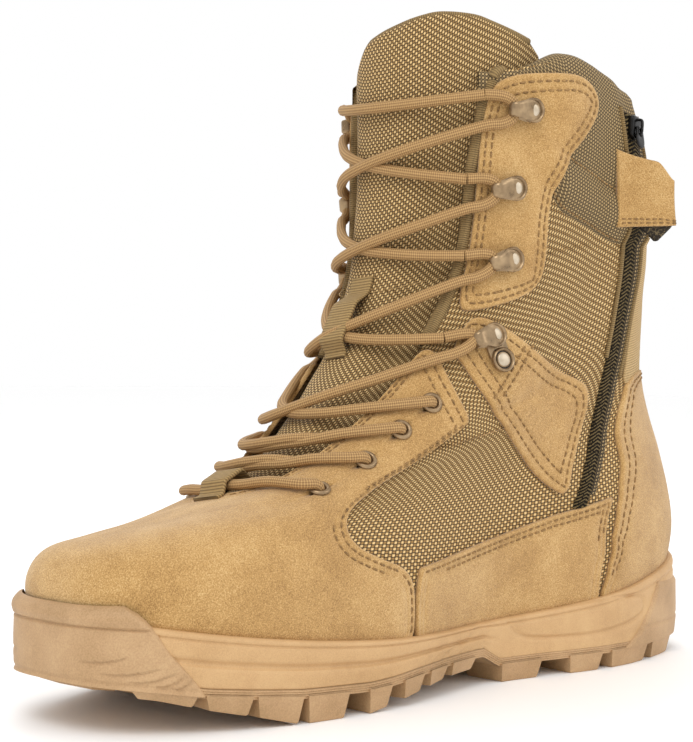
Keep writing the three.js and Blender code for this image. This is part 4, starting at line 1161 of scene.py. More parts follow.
wall -= outward[None] * (pressed + hatch * in_arch)[..., None]
cup_top = form(0.01, sole_angles) + normal(0.01, sole_angles) * 0.4
cup_low = sole_line(flat_sole_angle, -0.6)
cup_low[:, 2] = form(0.0, sole_angles)[:, 2] - CUP_DEPTH - 0.3
under = sole_line(flat_sole_angle, -6.0)
under[:, 2] = band_top
midsole_points = np.concatenate([under[None], wall, cup_top[None], cup_low[None]])
midsole = grid_mesh("midsole_body", midsole_points, foam, None, close_columns=True)
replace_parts(midsole, "midsole")
print("midsole points", midsole_points.shape)

# %% [markdown]
# The outsole is a band round the sole with lugs under it. A lug is a block with its foot rounded,
# and the ones at the edge follow the sole's outline, slightly proud of it.

# %% Lugs
EDGE_LUGS = [(-0.445, -0.39), (-0.383, -0.334), (-0.329, -0.274), (-0.268, -0.213), (-0.184, -0.151),
             (-0.131, -0.095), (-0.082, -0.046), (-0.034, 0.018), (0.073, 0.141), (0.186, 0.241),
             (0.258, 0.34), (0.355, 0.42)]
MIDDLE_LUGS = [(-0.46, -0.42, 0.05), (-0.38, -0.33, 0.04), (-0.3, -0.24, 0.05), (-0.21, -0.15, 0.048),
               (0.1, 0.17, 0.03), (0.24, 0.31, 0.035), (0.42, 0.465, 0.07)]
LUG_REACH = 19.0
LUGS_OUT = 0.8
LUG_DRAFT = 1.3


def outline_angle(x):
    """The angle at which the sole's outline passes a length along the boot."""
    toe, heel = SECTIONS[0][3], SECTIONS[0][4]
    along = np.clip((x / BOOT_LENGTH - toe) / (heel - toe), 0, 1)
    return np.degrees(np.arccos(1 - 2 * along))


def block(corners_at):
    """A lug from its plan at a draft and its height over the ground: rounded foot, sloping sides."""
    rows = []
    for draft, lift in ((LUG_DRAFT + 1.0, 0.0), (LUG_DRAFT + 0.35, 0.12), (LUG_DRAFT, 0.7), (0.0, None)):
        plan = corners_at(draft)
        height = underside_at(plan[:, 0]) + 1.0 if lift is None else ground_at(plan[:, 0]) + lift
        rows.append(np.concatenate([plan[:, :2], height[:, None]], 1))
    return np.stack(rows)


def edge_lug(start, end, sign):
    def corners(draft):
        x = np.linspace(BOOT_LENGTH * start + draft, BOOT_LENGTH * end - draft, 9)
        outer = sole_line(sign * outline_angle(x), RIM_WIDTH + LUGS_OUT - draft)
        inner = sole_line(sign * outline_angle(x[::-1]), RIM_WIDTH - LUG_REACH + draft)
        return np.concatenate([outer, inner])
    return block(corners)


def middle_lug(start, end, half):
    def corners(draft):
        x0, x1, y = BOOT_LENGTH * start + draft, BOOT_LENGTH * end - draft, BOOT_LENGTH * half - draft
        slant = (x1 - x0) / 4
        plan = [(x0 - slant, 0), (x0, -y), (x1, -y), (x1 - slant, 0), (x1, y), (x0, y)]
        return np.array([(px, py, 0.0) for px, py in plan])
    return block(corners)


def solids(name, blocks, paint, sharp=35):
    """Several blocks in one mesh, each closed at its foot by a strip of quads."""
    points, faces, count = [], [], 0
    for rows in blocks:
        levels, sides = rows.shape[:2]
        faces += grid_faces(levels, sides, close_columns=True, start=count)
        faces += [[count + i, count + i + 1, count + sides - 2 - i, count + sides - 1 - i]
                  for i in range(sides // 2 - 1)]
        points.append(rows.reshape(-1, 3))
        count += levels * sides
    piece = mesh(name, np.concatenate(points), faces, paint)
    piece.data.set_sharp_from_angle(angle=math.radians(sharp))
    return piece


lugs = [edge_lug(a, b, sign) for a, b in EDGE_LUGS for _, sign in SIDES]
lugs += [middle_lug(*row) for row in MIDDLE_LUGS]
solids("tread_lugs", lugs, rubber)
print("lugs", len(lugs))

# %% [markdown]
# Over the lugs runs a band with four fine ribs. The band and the tread's flat underside are one
# grid, so the sole is closed.

# %% Outsole band
band_up = np.linspace(0, 1, 40)
ribs = 0.12 * np.sin(band_up * math.pi * 2 * 4)
band_out = RIM_WIDTH * (0.97 + 0.08 * band_up) + ribs
band_wall = sole_side(sole_angles, band_up[:, None], band_out[:, None] + 0 * base_line[None, :, 0],
                      underside_at(base_line[:, 0]), band_top_at(base_line[:, 0]))
tread_rows = []
for share in np.linspace(0, 1, 12):
    ring = sole_line(flat_sole_angle, RIM_WIDTH * 0.97) * np.array([1, 1 - share, 1])
    ring[:, 2] = underside_at(ring[:, 0])
    tread_rows.append(ring)
outsole_points = np.concatenate([np.stack(tread_rows[::-1]), band_wall, under[None]])
outsole = grid_mesh("outsole_band", outsole_points, rubber, None, close_columns=True)
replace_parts(outsole, "outsole")

# %% [markdown]
# Rubber also climbs the toe as a bumper and the back of the heel. Both are rows of angles that narrow
# with height, and the surface rolls down to the leather along its edges.

# %% Toe bumper and heel wrap
CLIMB_INNER = 2.4
CLIMB_THICKNESS = 3.4
CLIMB_LEVELS = 72
CLIMB_COLUMNS = 161


def share_at_height(angle, height):
    """The height share at which the form reaches a height."""
    low, high = np.zeros_like(angle), np.full_like(angle, 0.3)
    for _ in range(24):
        middle = (low + high) / 2
        below = form(middle, angle)[..., 2] < height
        low, high = np.where(below, middle, low), np.where(below, high, middle)
    return low


def climbing(name, rows, centre, top, ridges, roll=1.6, nicks=()):
    """Rubber that climbs the leather: rows of height share, half angle and thickness round a centre."""
    rows = np.array(rows, float)
    up = np.linspace(0, 1, CLIMB_LEVELS)[:, None]
    across = np.linspace(-1, 1, CLIMB_COLUMNS)[None, :]
    half = np.interp(up, rows[:, 0], rows[:, 1])
    angle = centre + across * half
    out = np.interp(up, rows[:, 0], rows[:, 2]) * CLIMB_THICKNESS + 0 * across
    start = underside_at(form(0.0, angle)[..., 0]) + OUTSOLE_BAND / 4
    height = start + (top - start) * up
    edge = np.minimum(1 - np.abs(across), (1 - up) * 0.55 + 0 * across)
    millimetres = edge * np.radians(half) * 52
    fall = np.clip(millimetres / roll, 0, 1)
    out = out * (0.12 + 0.88 * np.sqrt(1 - (1 - fall) ** 2))
    for ridge_up, ridge_depth, ridge_width in ridges:
        out = out + ridge_depth * hump(up - ridge_up, ridge_width) * fall
    for low, first, last, climb in nicks:
        share = np.clip((np.abs(angle) - abs(last)) / (abs(first) - abs(last)), 0, 1)
        covered = (np.abs(angle) > abs(last)) & (np.abs(angle) < abs(first))
        line = low + climb * share ** 2.2
        under = np.clip((line - up) / 0.09, 0, 1)
        out = out - 0.9 * np.where((up < line) & covered, (1 - under) * np.sin(share * math.pi) ** 0.6, 0)
    distance = CLIMB_INNER + out
    on_side = sole_line(angle, 0.0)
    outward = sole_line(angle, 1.0) - on_side
    low_points = on_side + outward * distance[..., None]
    low_points[..., 2] = height
    share = share_at_height(angle, height)
    high_points = form(share, angle) + normal(share, angle) * distance[..., None]
    feather = form(0.0, angle)[..., 2]
    blend = smooth(-3.0, 3.0, height - feather)[..., None]
    return grid_mesh(name, low_points * (1 - blend) + high_points * blend, rubber, None)


BUMPER = [(0, 36.5, 0.95), (0.2, 33.5, 1), (0.45, 29, 1.03), (0.66, 26.2, 1.0), (0.74, 25.2, 1.1),
          (0.84, 23.6, 1.2), (0.92, 22, 1.1), (1, 19, 0.85)]
WRAP = [(0, 55, 0.9), (0.25, 50, 1.05), (0.6, 45, 1), (0.9, 42, 0.95), (1, 40, 0.6)]
NICKS = [(0.30, -20, -8, 0.10), (0.17, -27, -13, 0.12), (0.10, -30, -20, 0.16), (0.07, -32, -25.5, 0.18),
         (0.06, -34, -29, 0.2)]
climbing("toe_bumper", BUMPER, 0, 40.6, [(0.72, -0.9, 0.022), (0.05, -0.5, 0.03)], nicks=NICKS)
climbing("heel_wrap", WRAP, 180, 30.0, [(0.3, -0.5, 0.03)], roll=1.4)

# %% [markdown]
# Inside lies the insole, a board of the sole's outline that falls off at its edge.

# %% Insole
insole_rows = []
for share, drop in ((1, 3.4), (0.995, 1.0), (0.98, 0.2), (0.9, 0.0), (0.6, -0.3), (0.3, -0.5), (0.0, -0.6)):
    ring = sole_line(flat_sole_angle, -INSOLE_EDGE)
    middle = ring.mean(0)
    ring = np.concatenate([ring[:, :1], ring[:, 1:2] * share, ring[:, 2:]], 1)
    ring[:, 2] = form(0.0, flat_sole_angle)[:, 2] - CUP_DEPTH + 4.0 - drop
    insole_rows.append(ring)
insole = grid_mesh("insole_board", np.stack(insole_rows), lining_cloth, np.stack(insole_rows),
                   close_columns=True)
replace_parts(insole, "insole")

# %% [markdown]
# The metal parts are bronze-coated. A coat like that is satin and a little uneven. The flat top of
# each rivet is painted paler, a painted highlight, and a black ring in each rivet's groove is painted
# shade. The eyelets are turned rings. A hook is a strip folded back over itself, wide at the rivet and
# narrow at the nose, and the lace lies in the fold.

# %% Metal


def metal_paint(name, slot, base, shade, roughness, metallic):
    paint = Paint(name, slot)
    clouds = paint.noise(220.0, 3.0)
    return paint.set(Base_Color=paint.mix(linear(shade), linear(base), clouds.ramp(0.35, 0.65)),
                     Metallic=metallic,
                     Roughness=clouds.ramp(0.3, 0.7, roughness - 0.06, roughness + 0.08),
                     Normal=paint.bump(paint.noise(1500.0), 0.00004, 0.5))


bronze = metal_paint("bronze_coat", "bronze", "a88e6c", "7d674c", 0.3, 0.7)
# The rivets' flat tops take a paler colour than the bronze: a painted highlight.
rivet_painted_highlight = metal_paint("rivet_painted_highlight", "bronze", "cdbfa9", "b5a58d", 0.38, 0.5)
# Black enamel for the slider and the pull; it also paints the rings of painted shade in the rivets'
# grooves.
black = metal_paint("black_enamel", "black_metal", "1c1a18", "0d0c0b", 0.3, 0.55)
LACE_WIDTH = 4.1
OVER = LIFT + SUEDE


def spot(t, angle, out):
    """A frame on the form: x to the throat, y along the edge, z outwards."""
    up = normal(t, angle)
    towards = form(t, angle - np.sign(angle)) - form(t, angle)
    towards = unit(towards - up * (towards @ up))
    return skin(t, angle, out), towards, np.cross(up, towards), up


def put(points, place):
    """Points of a small part, moved into a frame on the form."""
    origin, x, y, z = place
    points = np.asarray(points, float)
    return origin + points[..., :1] * x + points[..., 1:2] * y + points[..., 2:3] * z


def lathe(profile, sides=32):
    """Rings of a turned part from its radii and heights."""
    turn = np.radians(np.arange(sides) * 360 / sides)
    profile = np.array(profile, float)
    return np.stack([profile[:, :1] * np.cos(turn), profile[:, :1] * np.sin(turn),
                     profile[:, 1:] + 0 * turn], -1)


RING = [(2.1, -3.6), (2.1, 0.1), (2.25, 0.55), (2.6, 0.9), (3.1, 0.95), (3.55, 0.7), (3.85, 0.25),
        (3.9, 0.0), (3.6, -0.1)]
for side, sign in SIDES:
    for i, (t, angle) in enumerate(EYELETS):
        ring = put(lathe(RING), spot(t, sign * angle, OVER + 0.1))
        eyelet = grid_mesh(f"eyelet_ring_{side}_{i + 1}", ring, bronze, None, close_columns=True)
        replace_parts(eyelet, f"eyelet_{side}_{i + 1}")
print("eyelets", len(SIDES) * len(EYELETS))

# %% [markdown]
# For the hook, a strip is swept along its fold with a width at each step. The rivet's head is a
# crater: a raised rim with a flat disc inside.

# %% Hooks
FOLD = [(-3.9, 0.5, 3.4), (-2.0, 0.5, 4.2), (1.0, 0.5, 4.1), (4.0, 0.5, 3.4), (6.5, 0.55, 2.9),
        (7.9, 0.9, 2.7), (8.75, 1.9, 2.6), (8.95, 3.1, 2.6), (8.6, 4.3, 2.6), (7.7, 5.0, 2.65),
        (6.4, 5.15, 2.85), (4.6, 4.75, 3.3), (2.8, 4.15, 3.9), (0.8, 3.55, 4.4), (-1.2, 3.1, 4.5),
        (-3.0, 2.8, 3.9), (-4.2, 2.6, 2.4)]
CRATER = [(0, 3.55), (2.3, 3.6), (2.75, 3.45), (2.95, 2.9), (3.2, 2.9), (3.5, 3.9), (3.9, 4.15),
          (4.35, 3.9), (4.6, 3.1), (4.4, 2.2), (3.0, 0.4)]
RIVET = [(0, 3.95), (1.5, 3.9), (2.2, 3.72), (2.5, 3.5), (2.6, 3.0)]
STRIP_HALF = 0.5
LOCK = (0.618, 64)
SPEED = [(0.733, 61), (0.823, 58.8), (0.92, 64.5)]


def hook_parts(crater_places):
    """The folded strip of a hook and the craters of its rivets."""
    path = curve(np.array(FOLD), 0.45)
    tangent = unit(np.gradient(path[:, [0, 1]], axis=0))
    above = np.stack([-tangent[:, 1], tangent[:, 0]], -1)
    shares = np.linspace(-1, 1, 11)
    halves = STRIP_HALF * np.sqrt(np.maximum(0, 1 - shares ** 8))
    across = np.concatenate([shares, shares[-2:0:-1]])
    rise = np.concatenate([halves, -halves[-2:0:-1]])
    strip = np.stack([path[:, :1] + above[:, :1] * rise, path[:, 2:] * across,
                      path[:, 1:2] + above[:, 1:] * rise], -1)
    return strip, [lathe(CRATER, 36) + np.array([x, y, -drop]) for x, y, drop in crater_places]


RIVETS, GROOVE_SHADE_RINGS = [], []


def hook(name, place, crater_places, lobe=None):
    """One hook in one mesh. Its rivets' tops, painted paler as a painted highlight, and the black rings of
    painted shade in their grooves are gathered for all hooks.
    """
    strip, craters = hook_parts(crater_places)
    parts = [(strip, True), *[(crater, False) for crater in craters]]
    if lobe is not None:
        parts.append((lobe, True))
    points, faces, count = [], [], 0
    for rows, capped in parts:
        levels, sides = rows.shape[:2]
        faces += (capped_tube(levels, sides, count) if capped
                  else grid_faces(levels, sides, close_columns=True, start=count))
        points.append(rows.reshape(-1, 3))
        count += levels * sides
    piece = mesh(name, put(np.concatenate(points), place), faces, bronze)
    piece.data.set_sharp_from_angle(angle=math.radians(50))
    for x, y, drop in crater_places:
        # A pale disc of painted highlight on each rivet's top, and a flat black ring of painted shade in
        # its groove.
        RIVETS.append(put(lathe(RIVET, 32) + np.array([x, y, -drop]), place))
        GROOVE_SHADE_RINGS.append(put(lathe([(2.4, 3.1), (3.45, 3.1)], 32) + np.array([x, y, -drop]), place))
    return piece


lobe_plan = rounded([(-4.6, 0), (-5.0, 6), (-4.4, 12.2), (-1.5, 13.8), (2.0, 12.6), (3.6, 7), (3.4, 0)],
                    3)
for side, sign in SIDES:
    lobe = np.stack([np.stack([lobe_plan[:, 0], -sign * lobe_plan[:, 1], 0 * lobe_plan[:, 0] + z], -1)
                     for z in (-0.2, 0.85, 1.05)])
    lobe[2] = lobe[2] * np.array([0.95, 0.97, 1])
    craters = [(0, 0, 0), (-0.8, -sign * 9.4, 1.4)]
    piece = hook(f"lock_hook_body_{side}", spot(LOCK[0], sign * LOCK[1], OVER + 0.1), craters, lobe)
    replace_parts(piece, f"lock_hook_{side}")
    for i, (t, angle) in enumerate(SPEED, 1):
        piece = hook(f"speed_hook_body_{side}_{i}", spot(t, sign * angle, OVER + 0.1), [(0, 0, 0)])
        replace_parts(piece, f"speed_hook_{side}_{i}")

# The rivets' tops in their painted highlight, and the black rings of painted shade in their grooves.
for name, rings, paint in (("hook_rivets", RIVETS, rivet_painted_highlight), ("hook_groove_painted_shade", GROOVE_SHADE_RINGS, black)):
    faces = []
    for i, ring in enumerate(rings):
        faces += grid_faces(*ring.shape[:2], close_columns=True, start=i * ring.shape[0] * ring.shape[1])
    mesh(name, np.concatenate([ring.reshape(-1, 3) for ring in rings]), faces, paint)

# %% [markdown]
# The lace is a round braid of tan yarn. Braid is two sets of yarns that wind round the cord in
# opposite ways, so its pattern comes from the length and the turn of the tube.

# %% Lace braid
lace = Paint("lace_braid", "cord")
length, turn, _ = lace.along("cloth")
one_way = (length / 1.5 + turn * 3).part()
other_way = (length / 1.5 - turn * 3).part()
first = (one_way * math.pi * 2).sine()
second = (other_way * math.pi * 2).sine()
weave = (first * second) * 0.5 + 0.5
lace.set(Base_Color=lace.mix(linear("75552f"), linear("c39c66"),
                             weave.ramp(0.1, 0.9) * 0.8 + lace.noise(700.0) * 0.2),
         Roughness=0.8,
         Normal=lace.bump(weave, 0.0002, 0.8))

# %% [markdown]
# A lace is a tube through a few places on the boot: out of an eyelet, over the tongue, and under the
# leather's edge or into the fold of a hook. Where it lies free, its height is that of what is
# beneath it, so it touches the tongue and climbs onto the suede.

# %% How a lace lies
TONGUE_TOP = TONGUE_UNDER + TONGUE_BULGE
ON_SUEDE = OVER + LACE_WIDTH / 2 - 0.1


def lying(t, angle, extra=0.0):
    """Height of a lace's middle over the form, on the tongue or on the suede."""
    edge = throat_half(t)
    free = 1 - smooth(0.25, 0.75, np.abs(angle) / np.maximum(edge, 1))
    tongue_top = TONGUE_UNDER + TONGUE_BULGE * np.interp(t, *TONGUE_LINE) * free
    span = np.maximum(tongue_top, TONGUE_TOP * 0.55 + OVER * 0.2) + LACE_WIDTH / 2
    return np.where(np.abs(angle) < edge - 6, span,
                    span + (ON_SUEDE - span) * smooth(edge - 6, edge - 1, np.abs(angle))) + extra


def strand(places, radius=LACE_WIDTH / 2):
    """A lace through (t, angle, out) places. An out of None lies on what is there."""
    points, ups = [], []
    for t, angle, out in places:
        height = float(lying(np.array(t), np.array(angle))) if out is None else out
        points.append(skin(t, angle, height))
        ups.append(normal(t, angle))
    line = curve(points, 0.7)
    ups = curve(ups, 0.01)
    ups = np.stack([np.interp(np.linspace(0, 1, len(line)), np.linspace(0, 1, len(ups)), ups[:, k])
                    for k in range(3)], -1)
    return tube_grid(line, radius, 12, 0.88, ups)


def spread(start, end, count, bow=0.0, lift=0.0):
    """Places between two others, over the tongue."""
    rows = []
    for f in np.linspace(0, 1, count + 2)[1:-1]:
        t = start[0] + (end[0] - start[0]) * f + bow * 4 * f * (1 - f)
        angle = start[1] + (end[1] - start[1]) * f
        rows.append((t, angle, float(lying(np.array(t), np.array(angle))) + lift * 4 * f * (1 - f)))
    return rows


def out_of_eyelet(t, sign, angle):
    """From under the leather, up through the ring and over its rim."""
    degree = 2.2
    return [(t, sign * (angle + 0.5), -3.5), (t, sign * (angle + 0.2), 0.5),
            (t + 0.001, sign * (angle - 1.0), OVER + 1.9),
            (t + 0.003, sign * (angle - 2.4 * degree), ON_SUEDE + 0.7)]


def under_edge(t, sign):
    """Down between the leather's edge and the tongue."""
    edge = float(throat_half(np.array(t)))
    return [(t, sign * (edge - 1.5), TONGUE_TOP * 0.35 + 0.6), (t - 0.002, sign * (edge + 3.5), -2.6 - 1.2)]


HOOK_NOSE = 8.9 * 1.37  # from a hook's rivet to its nose, in degrees: 1.37 for a millimetre


def round_hook(t, sign, angle, up_first):
    """Into the fold of a hook from one side of its nose and out at the other."""
    order = [-1, 1] if up_first else [1, -1]
    rise = 0.0165
    nose = angle - HOOK_NOSE
    places = []
    for k in order:
        places.append([(t + k * rise * 1.05, sign * (nose - 5.0), ON_SUEDE + 0.2),
                       (t + k * rise * 0.95, sign * (nose + 1.0), ON_SUEDE + 0.35)])
    first, last = places
    middle = [(t + order[0] * rise * 0.62, sign * (nose + 4.6), OVER + 2.6),
              (t, sign * (nose + 6.0), OVER + 2.7),
              (t + order[1] * rise * 0.62, sign * (nose + 4.6), OVER + 2.6)]
    return first + middle + last[::-1]


# %% [markdown]
# The laces cross three times between the eyelets and the lock hooks, and three times between the
# hooks. One of the two in a crossing is lifted by half a lace over the other. One bar joins the two
# first eyelets, and another the two top hooks.

# %% Laces
hooks = [LOCK, *SPEED]
lace_runs = []
for sign in (-1, 1):
    extra = 0.0 if sign < 0 else 1.9
    for i in range(3):
        t0, a0 = EYELETS[i + 1]
        start = out_of_eyelet(t0, sign, a0)
        if i < 2:
            t1 = EYELETS[i + 2][0] - 0.02
            end = under_edge(t1, -sign)
        else:
            end = round_hook(LOCK[0], -sign, LOCK[1], True)
        bow = (0.02, 0.012, 0.0)[i]
        first, last = start[-1], end[0]
        lace_runs.append(start + spread(first, last, 5, bow, extra + 0.6) + end)
for k in range(3):
    for sign in (-1, 1):
        extra = 0.0 if sign < 0 else 1.9
        start_hook, end_hook = hooks[k], hooks[k + 1]
        start = (start_hook[0] + 0.017, sign * (start_hook[1] - HOOK_NOSE - 5), None)
        end = round_hook(end_hook[0], -sign, end_hook[1], True)
        lace_runs.append([start] + spread((start[0], start[1]), end[0], 5, 0.0, extra + 0.6) + end)
top = hooks[3]
nose = top[1] - HOOK_NOSE - 5
bar_start, bar_end = (top[0] + 0.017, -nose, None), (top[0] + 0.017, nose, None)
lace_runs.append([bar_start] + spread(bar_start, bar_end, 5, -0.006, 0.8) + [bar_end])
for i, (a, b) in enumerate([(0, 3), (1, 4), (2, 5), (6, 7), (8, 9), (10, 11)], 1):
    piece = tubes(f"lace_cross_{i}_braid", [strand(lace_runs[a]), strand(lace_runs[b])], lace)
    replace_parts(piece, f"lace_cross_{i}")
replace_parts(tubes("lace_top_bar_braid", [strand(lace_runs[12])], lace), "lace_top_bar")
t0, a0 = EYELETS[0]
left, right_end = out_of_eyelet(t0, -1, a0), out_of_eyelet(t0, 1, a0)
bar = left + spread(left[-1], right_end[-1], 5, 0.062, 0.8) + right_end[::-1]
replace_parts(tubes("lace_first_bar_braid", [strand(bar)], lace), "lace_first_bar")
shown = [strand(run)[1][-1, 0, 0] for run in [*lace_runs, bar]]
print("the lace that is shown, in millimetres", round(sum(shown)))

# %% [markdown]
# Two webbing keepers hold the laces in place: one on the tongue and one at the foot of the throat.

# %% Keepers


def keeper(name, node, rows, half, thickness=1.3):
    """A flat band up the middle of the boot through rows of height share and height over the form."""
    t, out = (spaced(column, 40) for column in zip(*rows))
    for _ in range(3):
        out[1:-1] = (out[:-2] + 2 * out[1:-1] + out[2:]) / 4
    share = np.array([-1, -0.98, -0.9, -0.5, 0, 0.5, 0.9, 0.98, 1.0])
    rise = np.array([0, 0.7, 1, 1, 1, 1, 1, 0.7, 0]) * thickness
    share = np.concatenate([share, share[-2:0:-1]])
    rise = np.concatenate([rise, np.zeros(len(share) - len(rise))])
    points = np.stack([form(t, s * half) + normal(t, s * half) * (out + r)[:, None]
                       for s, r in zip(share, rise)], 1)
    pattern = cloth_grid(lengths_along(points[:, 4])[:, None], share[None, :] * 6)
    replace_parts(tubes(name, [(points, pattern)], webbing), node)


OVER_LACE = TONGUE_TOP + LACE_WIDTH + 1.4
keeper("tongue_keeper_webbing", "tongue_keeper", [
    (0.65, TONGUE_TOP), (0.655, TONGUE_TOP), (0.664, OVER_LACE), (0.711, OVER_LACE), (0.73, TONGUE_TOP),
    (0.748, TONGUE_TOP)], 7)
keeper("throat_keeper_webbing", "throat_keeper", [
    (0.396, OVER), (0.406, OVER), (0.416, OVER_LACE), (0.446, OVER_LACE), (0.4525, 0.2)], 8)

# %% [markdown]
# The zip is a narrow dark coil on a tape, beside the folded cloth edges. Its slider wraps the coil,
# the pull hangs in the slider's bridge and swings there, and a suede flap stands over the top.

# %% Zip
ZIP_LINE = ([0.2, 0.24, 0.3, 0.367, 0.49, 0.61, 0.72, 0.9],
            [113.6, 115.6, 117.2, 118, 118.8, 118.4, 118, 117.5])
ZIP_TOP = 0.93
PULL_LENGTH = 8.2

coil_paint = Paint("zip_coil", "zip_cord")
length, turn, _ = coil_paint.along("cloth")
row = (length / 1.5 + (turn - 0.5).size() * 2.4).part()
lit = (row < 0.42) * (coil_paint.noise(1300.0) > 0.44)
coil_paint.set(Base_Color=coil_paint.mix(linear("1a150e"), linear("8f7a52"), lit * 0.55), Roughness=0.8,
               Specular_IOR_Level=0.1,
               Normal=coil_paint.bump((row * math.pi).sine(), 0.0004, 0.9))
zip_tape = woven_paint("zip_tape", "zip_cord", 1.0, "a48a5e", "4a3c26", "1f1810", True, 0.2)


def zip_place(t, offset):
    """The angle of a place beside the zip's middle line, offset in millimetres."""
    middle = np.interp(t, *ZIP_LINE)
    degree = np.linalg.norm(form(t, -middle - 0.5) - form(t, -middle + 0.5), axis=-1)
    return -(middle + offset / degree)


def zip_band(name, left, right, paint, bulge, low=0.196, high=0.952, base=0.35):
    """A band beside the zip's middle line, rounded across."""
    t = np.linspace(low, high, 260)[:, None]
    share = np.linspace(0, 1, 13)[None, :]
    angle = zip_place(t + 0 * share, left + (right - left) * share)
    out = base + bulge * np.sqrt(np.clip(1 - (2 * share - 1) ** 2, 0, 1))
    top = skin(t, angle, out)
    across = share if paint is coil_paint else share * (right - left)
    pattern = cloth_grid(lengths_along(top[:, 6])[:, None], across)
    return grid_mesh(name, top, paint, pattern, flip=True)


coil = zip_band("zip_coil_chain", -4.6, 2.9, coil_paint, 1.5)
zip_band("zip_tape_edge", 2.8, 6.4, zip_tape, 0.5, 0.215)
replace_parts(coil, "zip_chain")
for name, offset, low in (("zip_front_piping", -5.4, 0.5), ("zip_back_piping", 7.1, 0.45)):
    t = np.linspace(low, 0.96, 90)
    angle = zip_place(t, offset)
    line = curve(skin(t, angle, 0.7 + 0 * t), 1.2)
    tubes(name, [tube_grid(line, 0.85, 10)], binding)

# %% [markdown]
# The slider is a small cast plate with its edges rolled, and a bridge of bent wire over it. The pull
# is a flat tab with a slot, so its rows run from the slot out to the rim and back underneath.

# %% Slider and pull
zip_angle = float(np.interp(ZIP_TOP, *ZIP_LINE))
zip_frame = list(spot(ZIP_TOP, -zip_angle, 0.0))
zip_frame[0] = form(ZIP_TOP, -zip_angle) + normal(ZIP_TOP, -zip_angle) * (1.6 + OVER)


def slab(name, plan, levels, place, paint, body=BOOT):
    """A plate with its edges rolled: each level is an inset of the plan and a height."""
    rows = [np.concatenate([inset_plan(plan, d), np.full((len(plan), 1), z)], 1) for d, z in levels]
    return tubes(name, [(put(np.stack(rows), place), np.zeros((len(rows), len(plan), 3)))], paint, body)


def inset_plan(plan, distance):
    """A plate's outline, drawn in towards its middle."""
    middle = plan.mean(0)
    reach = np.linalg.norm(plan - middle, axis=1, keepdims=True)
    return middle + (plan - middle) * (1 - distance / reach)


slider_plan = rounded([(-4, -4.5), (4, -4.5), (4, -1.5), (2.8, 4.5), (-2.8, 4.5), (-4, -1.5)], 3)
slider_levels = [(0.5, 0.0), (0.1, 0.2), (0, 0.6), (0, 1.9), (0.2, 2.3), (0.7, 2.55), (1.2, 2.6)]
slider = slab("slider_body", slider_plan, slider_levels, zip_frame, black)
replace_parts(slider, "zip_slider")
arch = curve([(0, -3.1, 2.2), (0, -2.95, 3.6), (0, -2.2, 4.4), (0, 0, 4.55), (0, 2.2, 4.4), (0, 2.95, 3.6),
              (0, 3.1, 2.2)], 0.3)
bridge_points, bridge_pattern = tube_grid(arch, 0.55, 10, towards=np.broadcast_to([1.0, 0, 0], arch.shape))
tubes("slider_bridge", [(put(bridge_points, zip_frame), bridge_pattern)], black)


def radial(outline, middle, turn):
    """How far an outline lies from its middle in each direction."""
    dense = resample(outline, 0.05) - middle
    directions = np.arctan2(dense[:, 1], dense[:, 0])
    order = np.argsort(directions)
    return np.interp(turn, directions[order], np.linalg.norm(dense, axis=1)[order], period=2 * math.pi)


pull_plan = rounded([(-2.2, -0.4), (2.2, -0.4), (2.5, 2), (3.25, PULL_LENGTH - 2.2), (2.2, PULL_LENGTH),
                     (-2.2, PULL_LENGTH), (-3.25, PULL_LENGTH - 2.2), (-2.5, 2)], 3)
pull_hole = rounded([(-1.0, 0.4), (1.0, 0.4), (1.0, 3.8), (-1.0, 3.8)], 2)
turn = np.linspace(-math.pi, math.pi, 97)[:-1]
hole_middle = np.array([0, 2.1])
hole_reach, rim_reach = radial(pull_hole, hole_middle, turn), radial(pull_plan, hole_middle, turn)
ways = np.stack([np.cos(turn), np.sin(turn)], -1)
PULL_LEVELS = [(0, -0.25), (0, 0.25), (0.08, 0.38), (0.3, 0.4), (0.6, 0.4), (0.9, 0.4), (1.0, 0.2),
               (1.0, -0.2), (0.9, -0.4), (0.5, -0.4), (0.08, -0.38)]
PULL_LEAN = 8
pull_rows = []
for share, height in PULL_LEVELS:
    flat_ring = hole_middle + ways * (hole_reach + (rim_reach - hole_reach) * share)[:, None]
    pull_rows.append(np.concatenate([flat_ring, np.full((len(turn), 1), height)], 1))
x, y, z = np.moveaxis(np.stack(pull_rows), -1, 0)
lean = math.radians(PULL_LEAN)
pull_points = np.stack([x, y * math.cos(lean) - z * math.sin(lean),
                        y * math.sin(lean) + z * math.cos(lean) + 3.3], -1)
pull = grid_mesh("pull_tab", put(pull_points, zip_frame), black, None, close_rows=True, close_columns=True,
                 flip=True, body="pull")
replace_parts(pull, "zip_pull")
print("slider's place in mm", zip_frame[0].round(1))

# %% [markdown]
# The flap is two skins with a rolled edge. It stands open, so the dark lining of loops shows under
# its stitched lower edge.

# %% Flap over the zip's top
FLAP_ROWS = np.array([(106.5, 0.7), (109.8, 2.3), (113.1, 4.9), (116.2, 7.9), (118.9, 11.0), (121.0, 13.4)])
FLAP_HIGH = ZIP_TOP - (PULL_LENGTH + 0.75) / (COLLAR_HEIGHT - FEATHER_TOE)
FLAP_LOW = FLAP_HIGH - 0.8 * 33 / (COLLAR_HEIGHT - FEATHER_TOE)
flap_line = curve(FLAP_ROWS, 0.35)


def flap_point(across, up, depth):
    """A place on the flap: across from its root, up from its lower edge, depth inwards from 2 mm out."""
    angle = np.interp(across, np.linspace(0, 1, len(flap_line)), flap_line[:, 0])
    out = np.interp(across, np.linspace(0, 1, len(flap_line)), flap_line[:, 1])
    corner = 0.03 * smooth(0.72, 1.0, across)
    t = FLAP_LOW + (FLAP_HIGH - 0.025 * across - corner - FLAP_LOW) * up
    sag = 0.5 * np.sin(up * math.pi) * across
    return form(t, -angle) + normal(t, -angle) * (1.6 + out + 2.0 - depth - sag)[..., None]


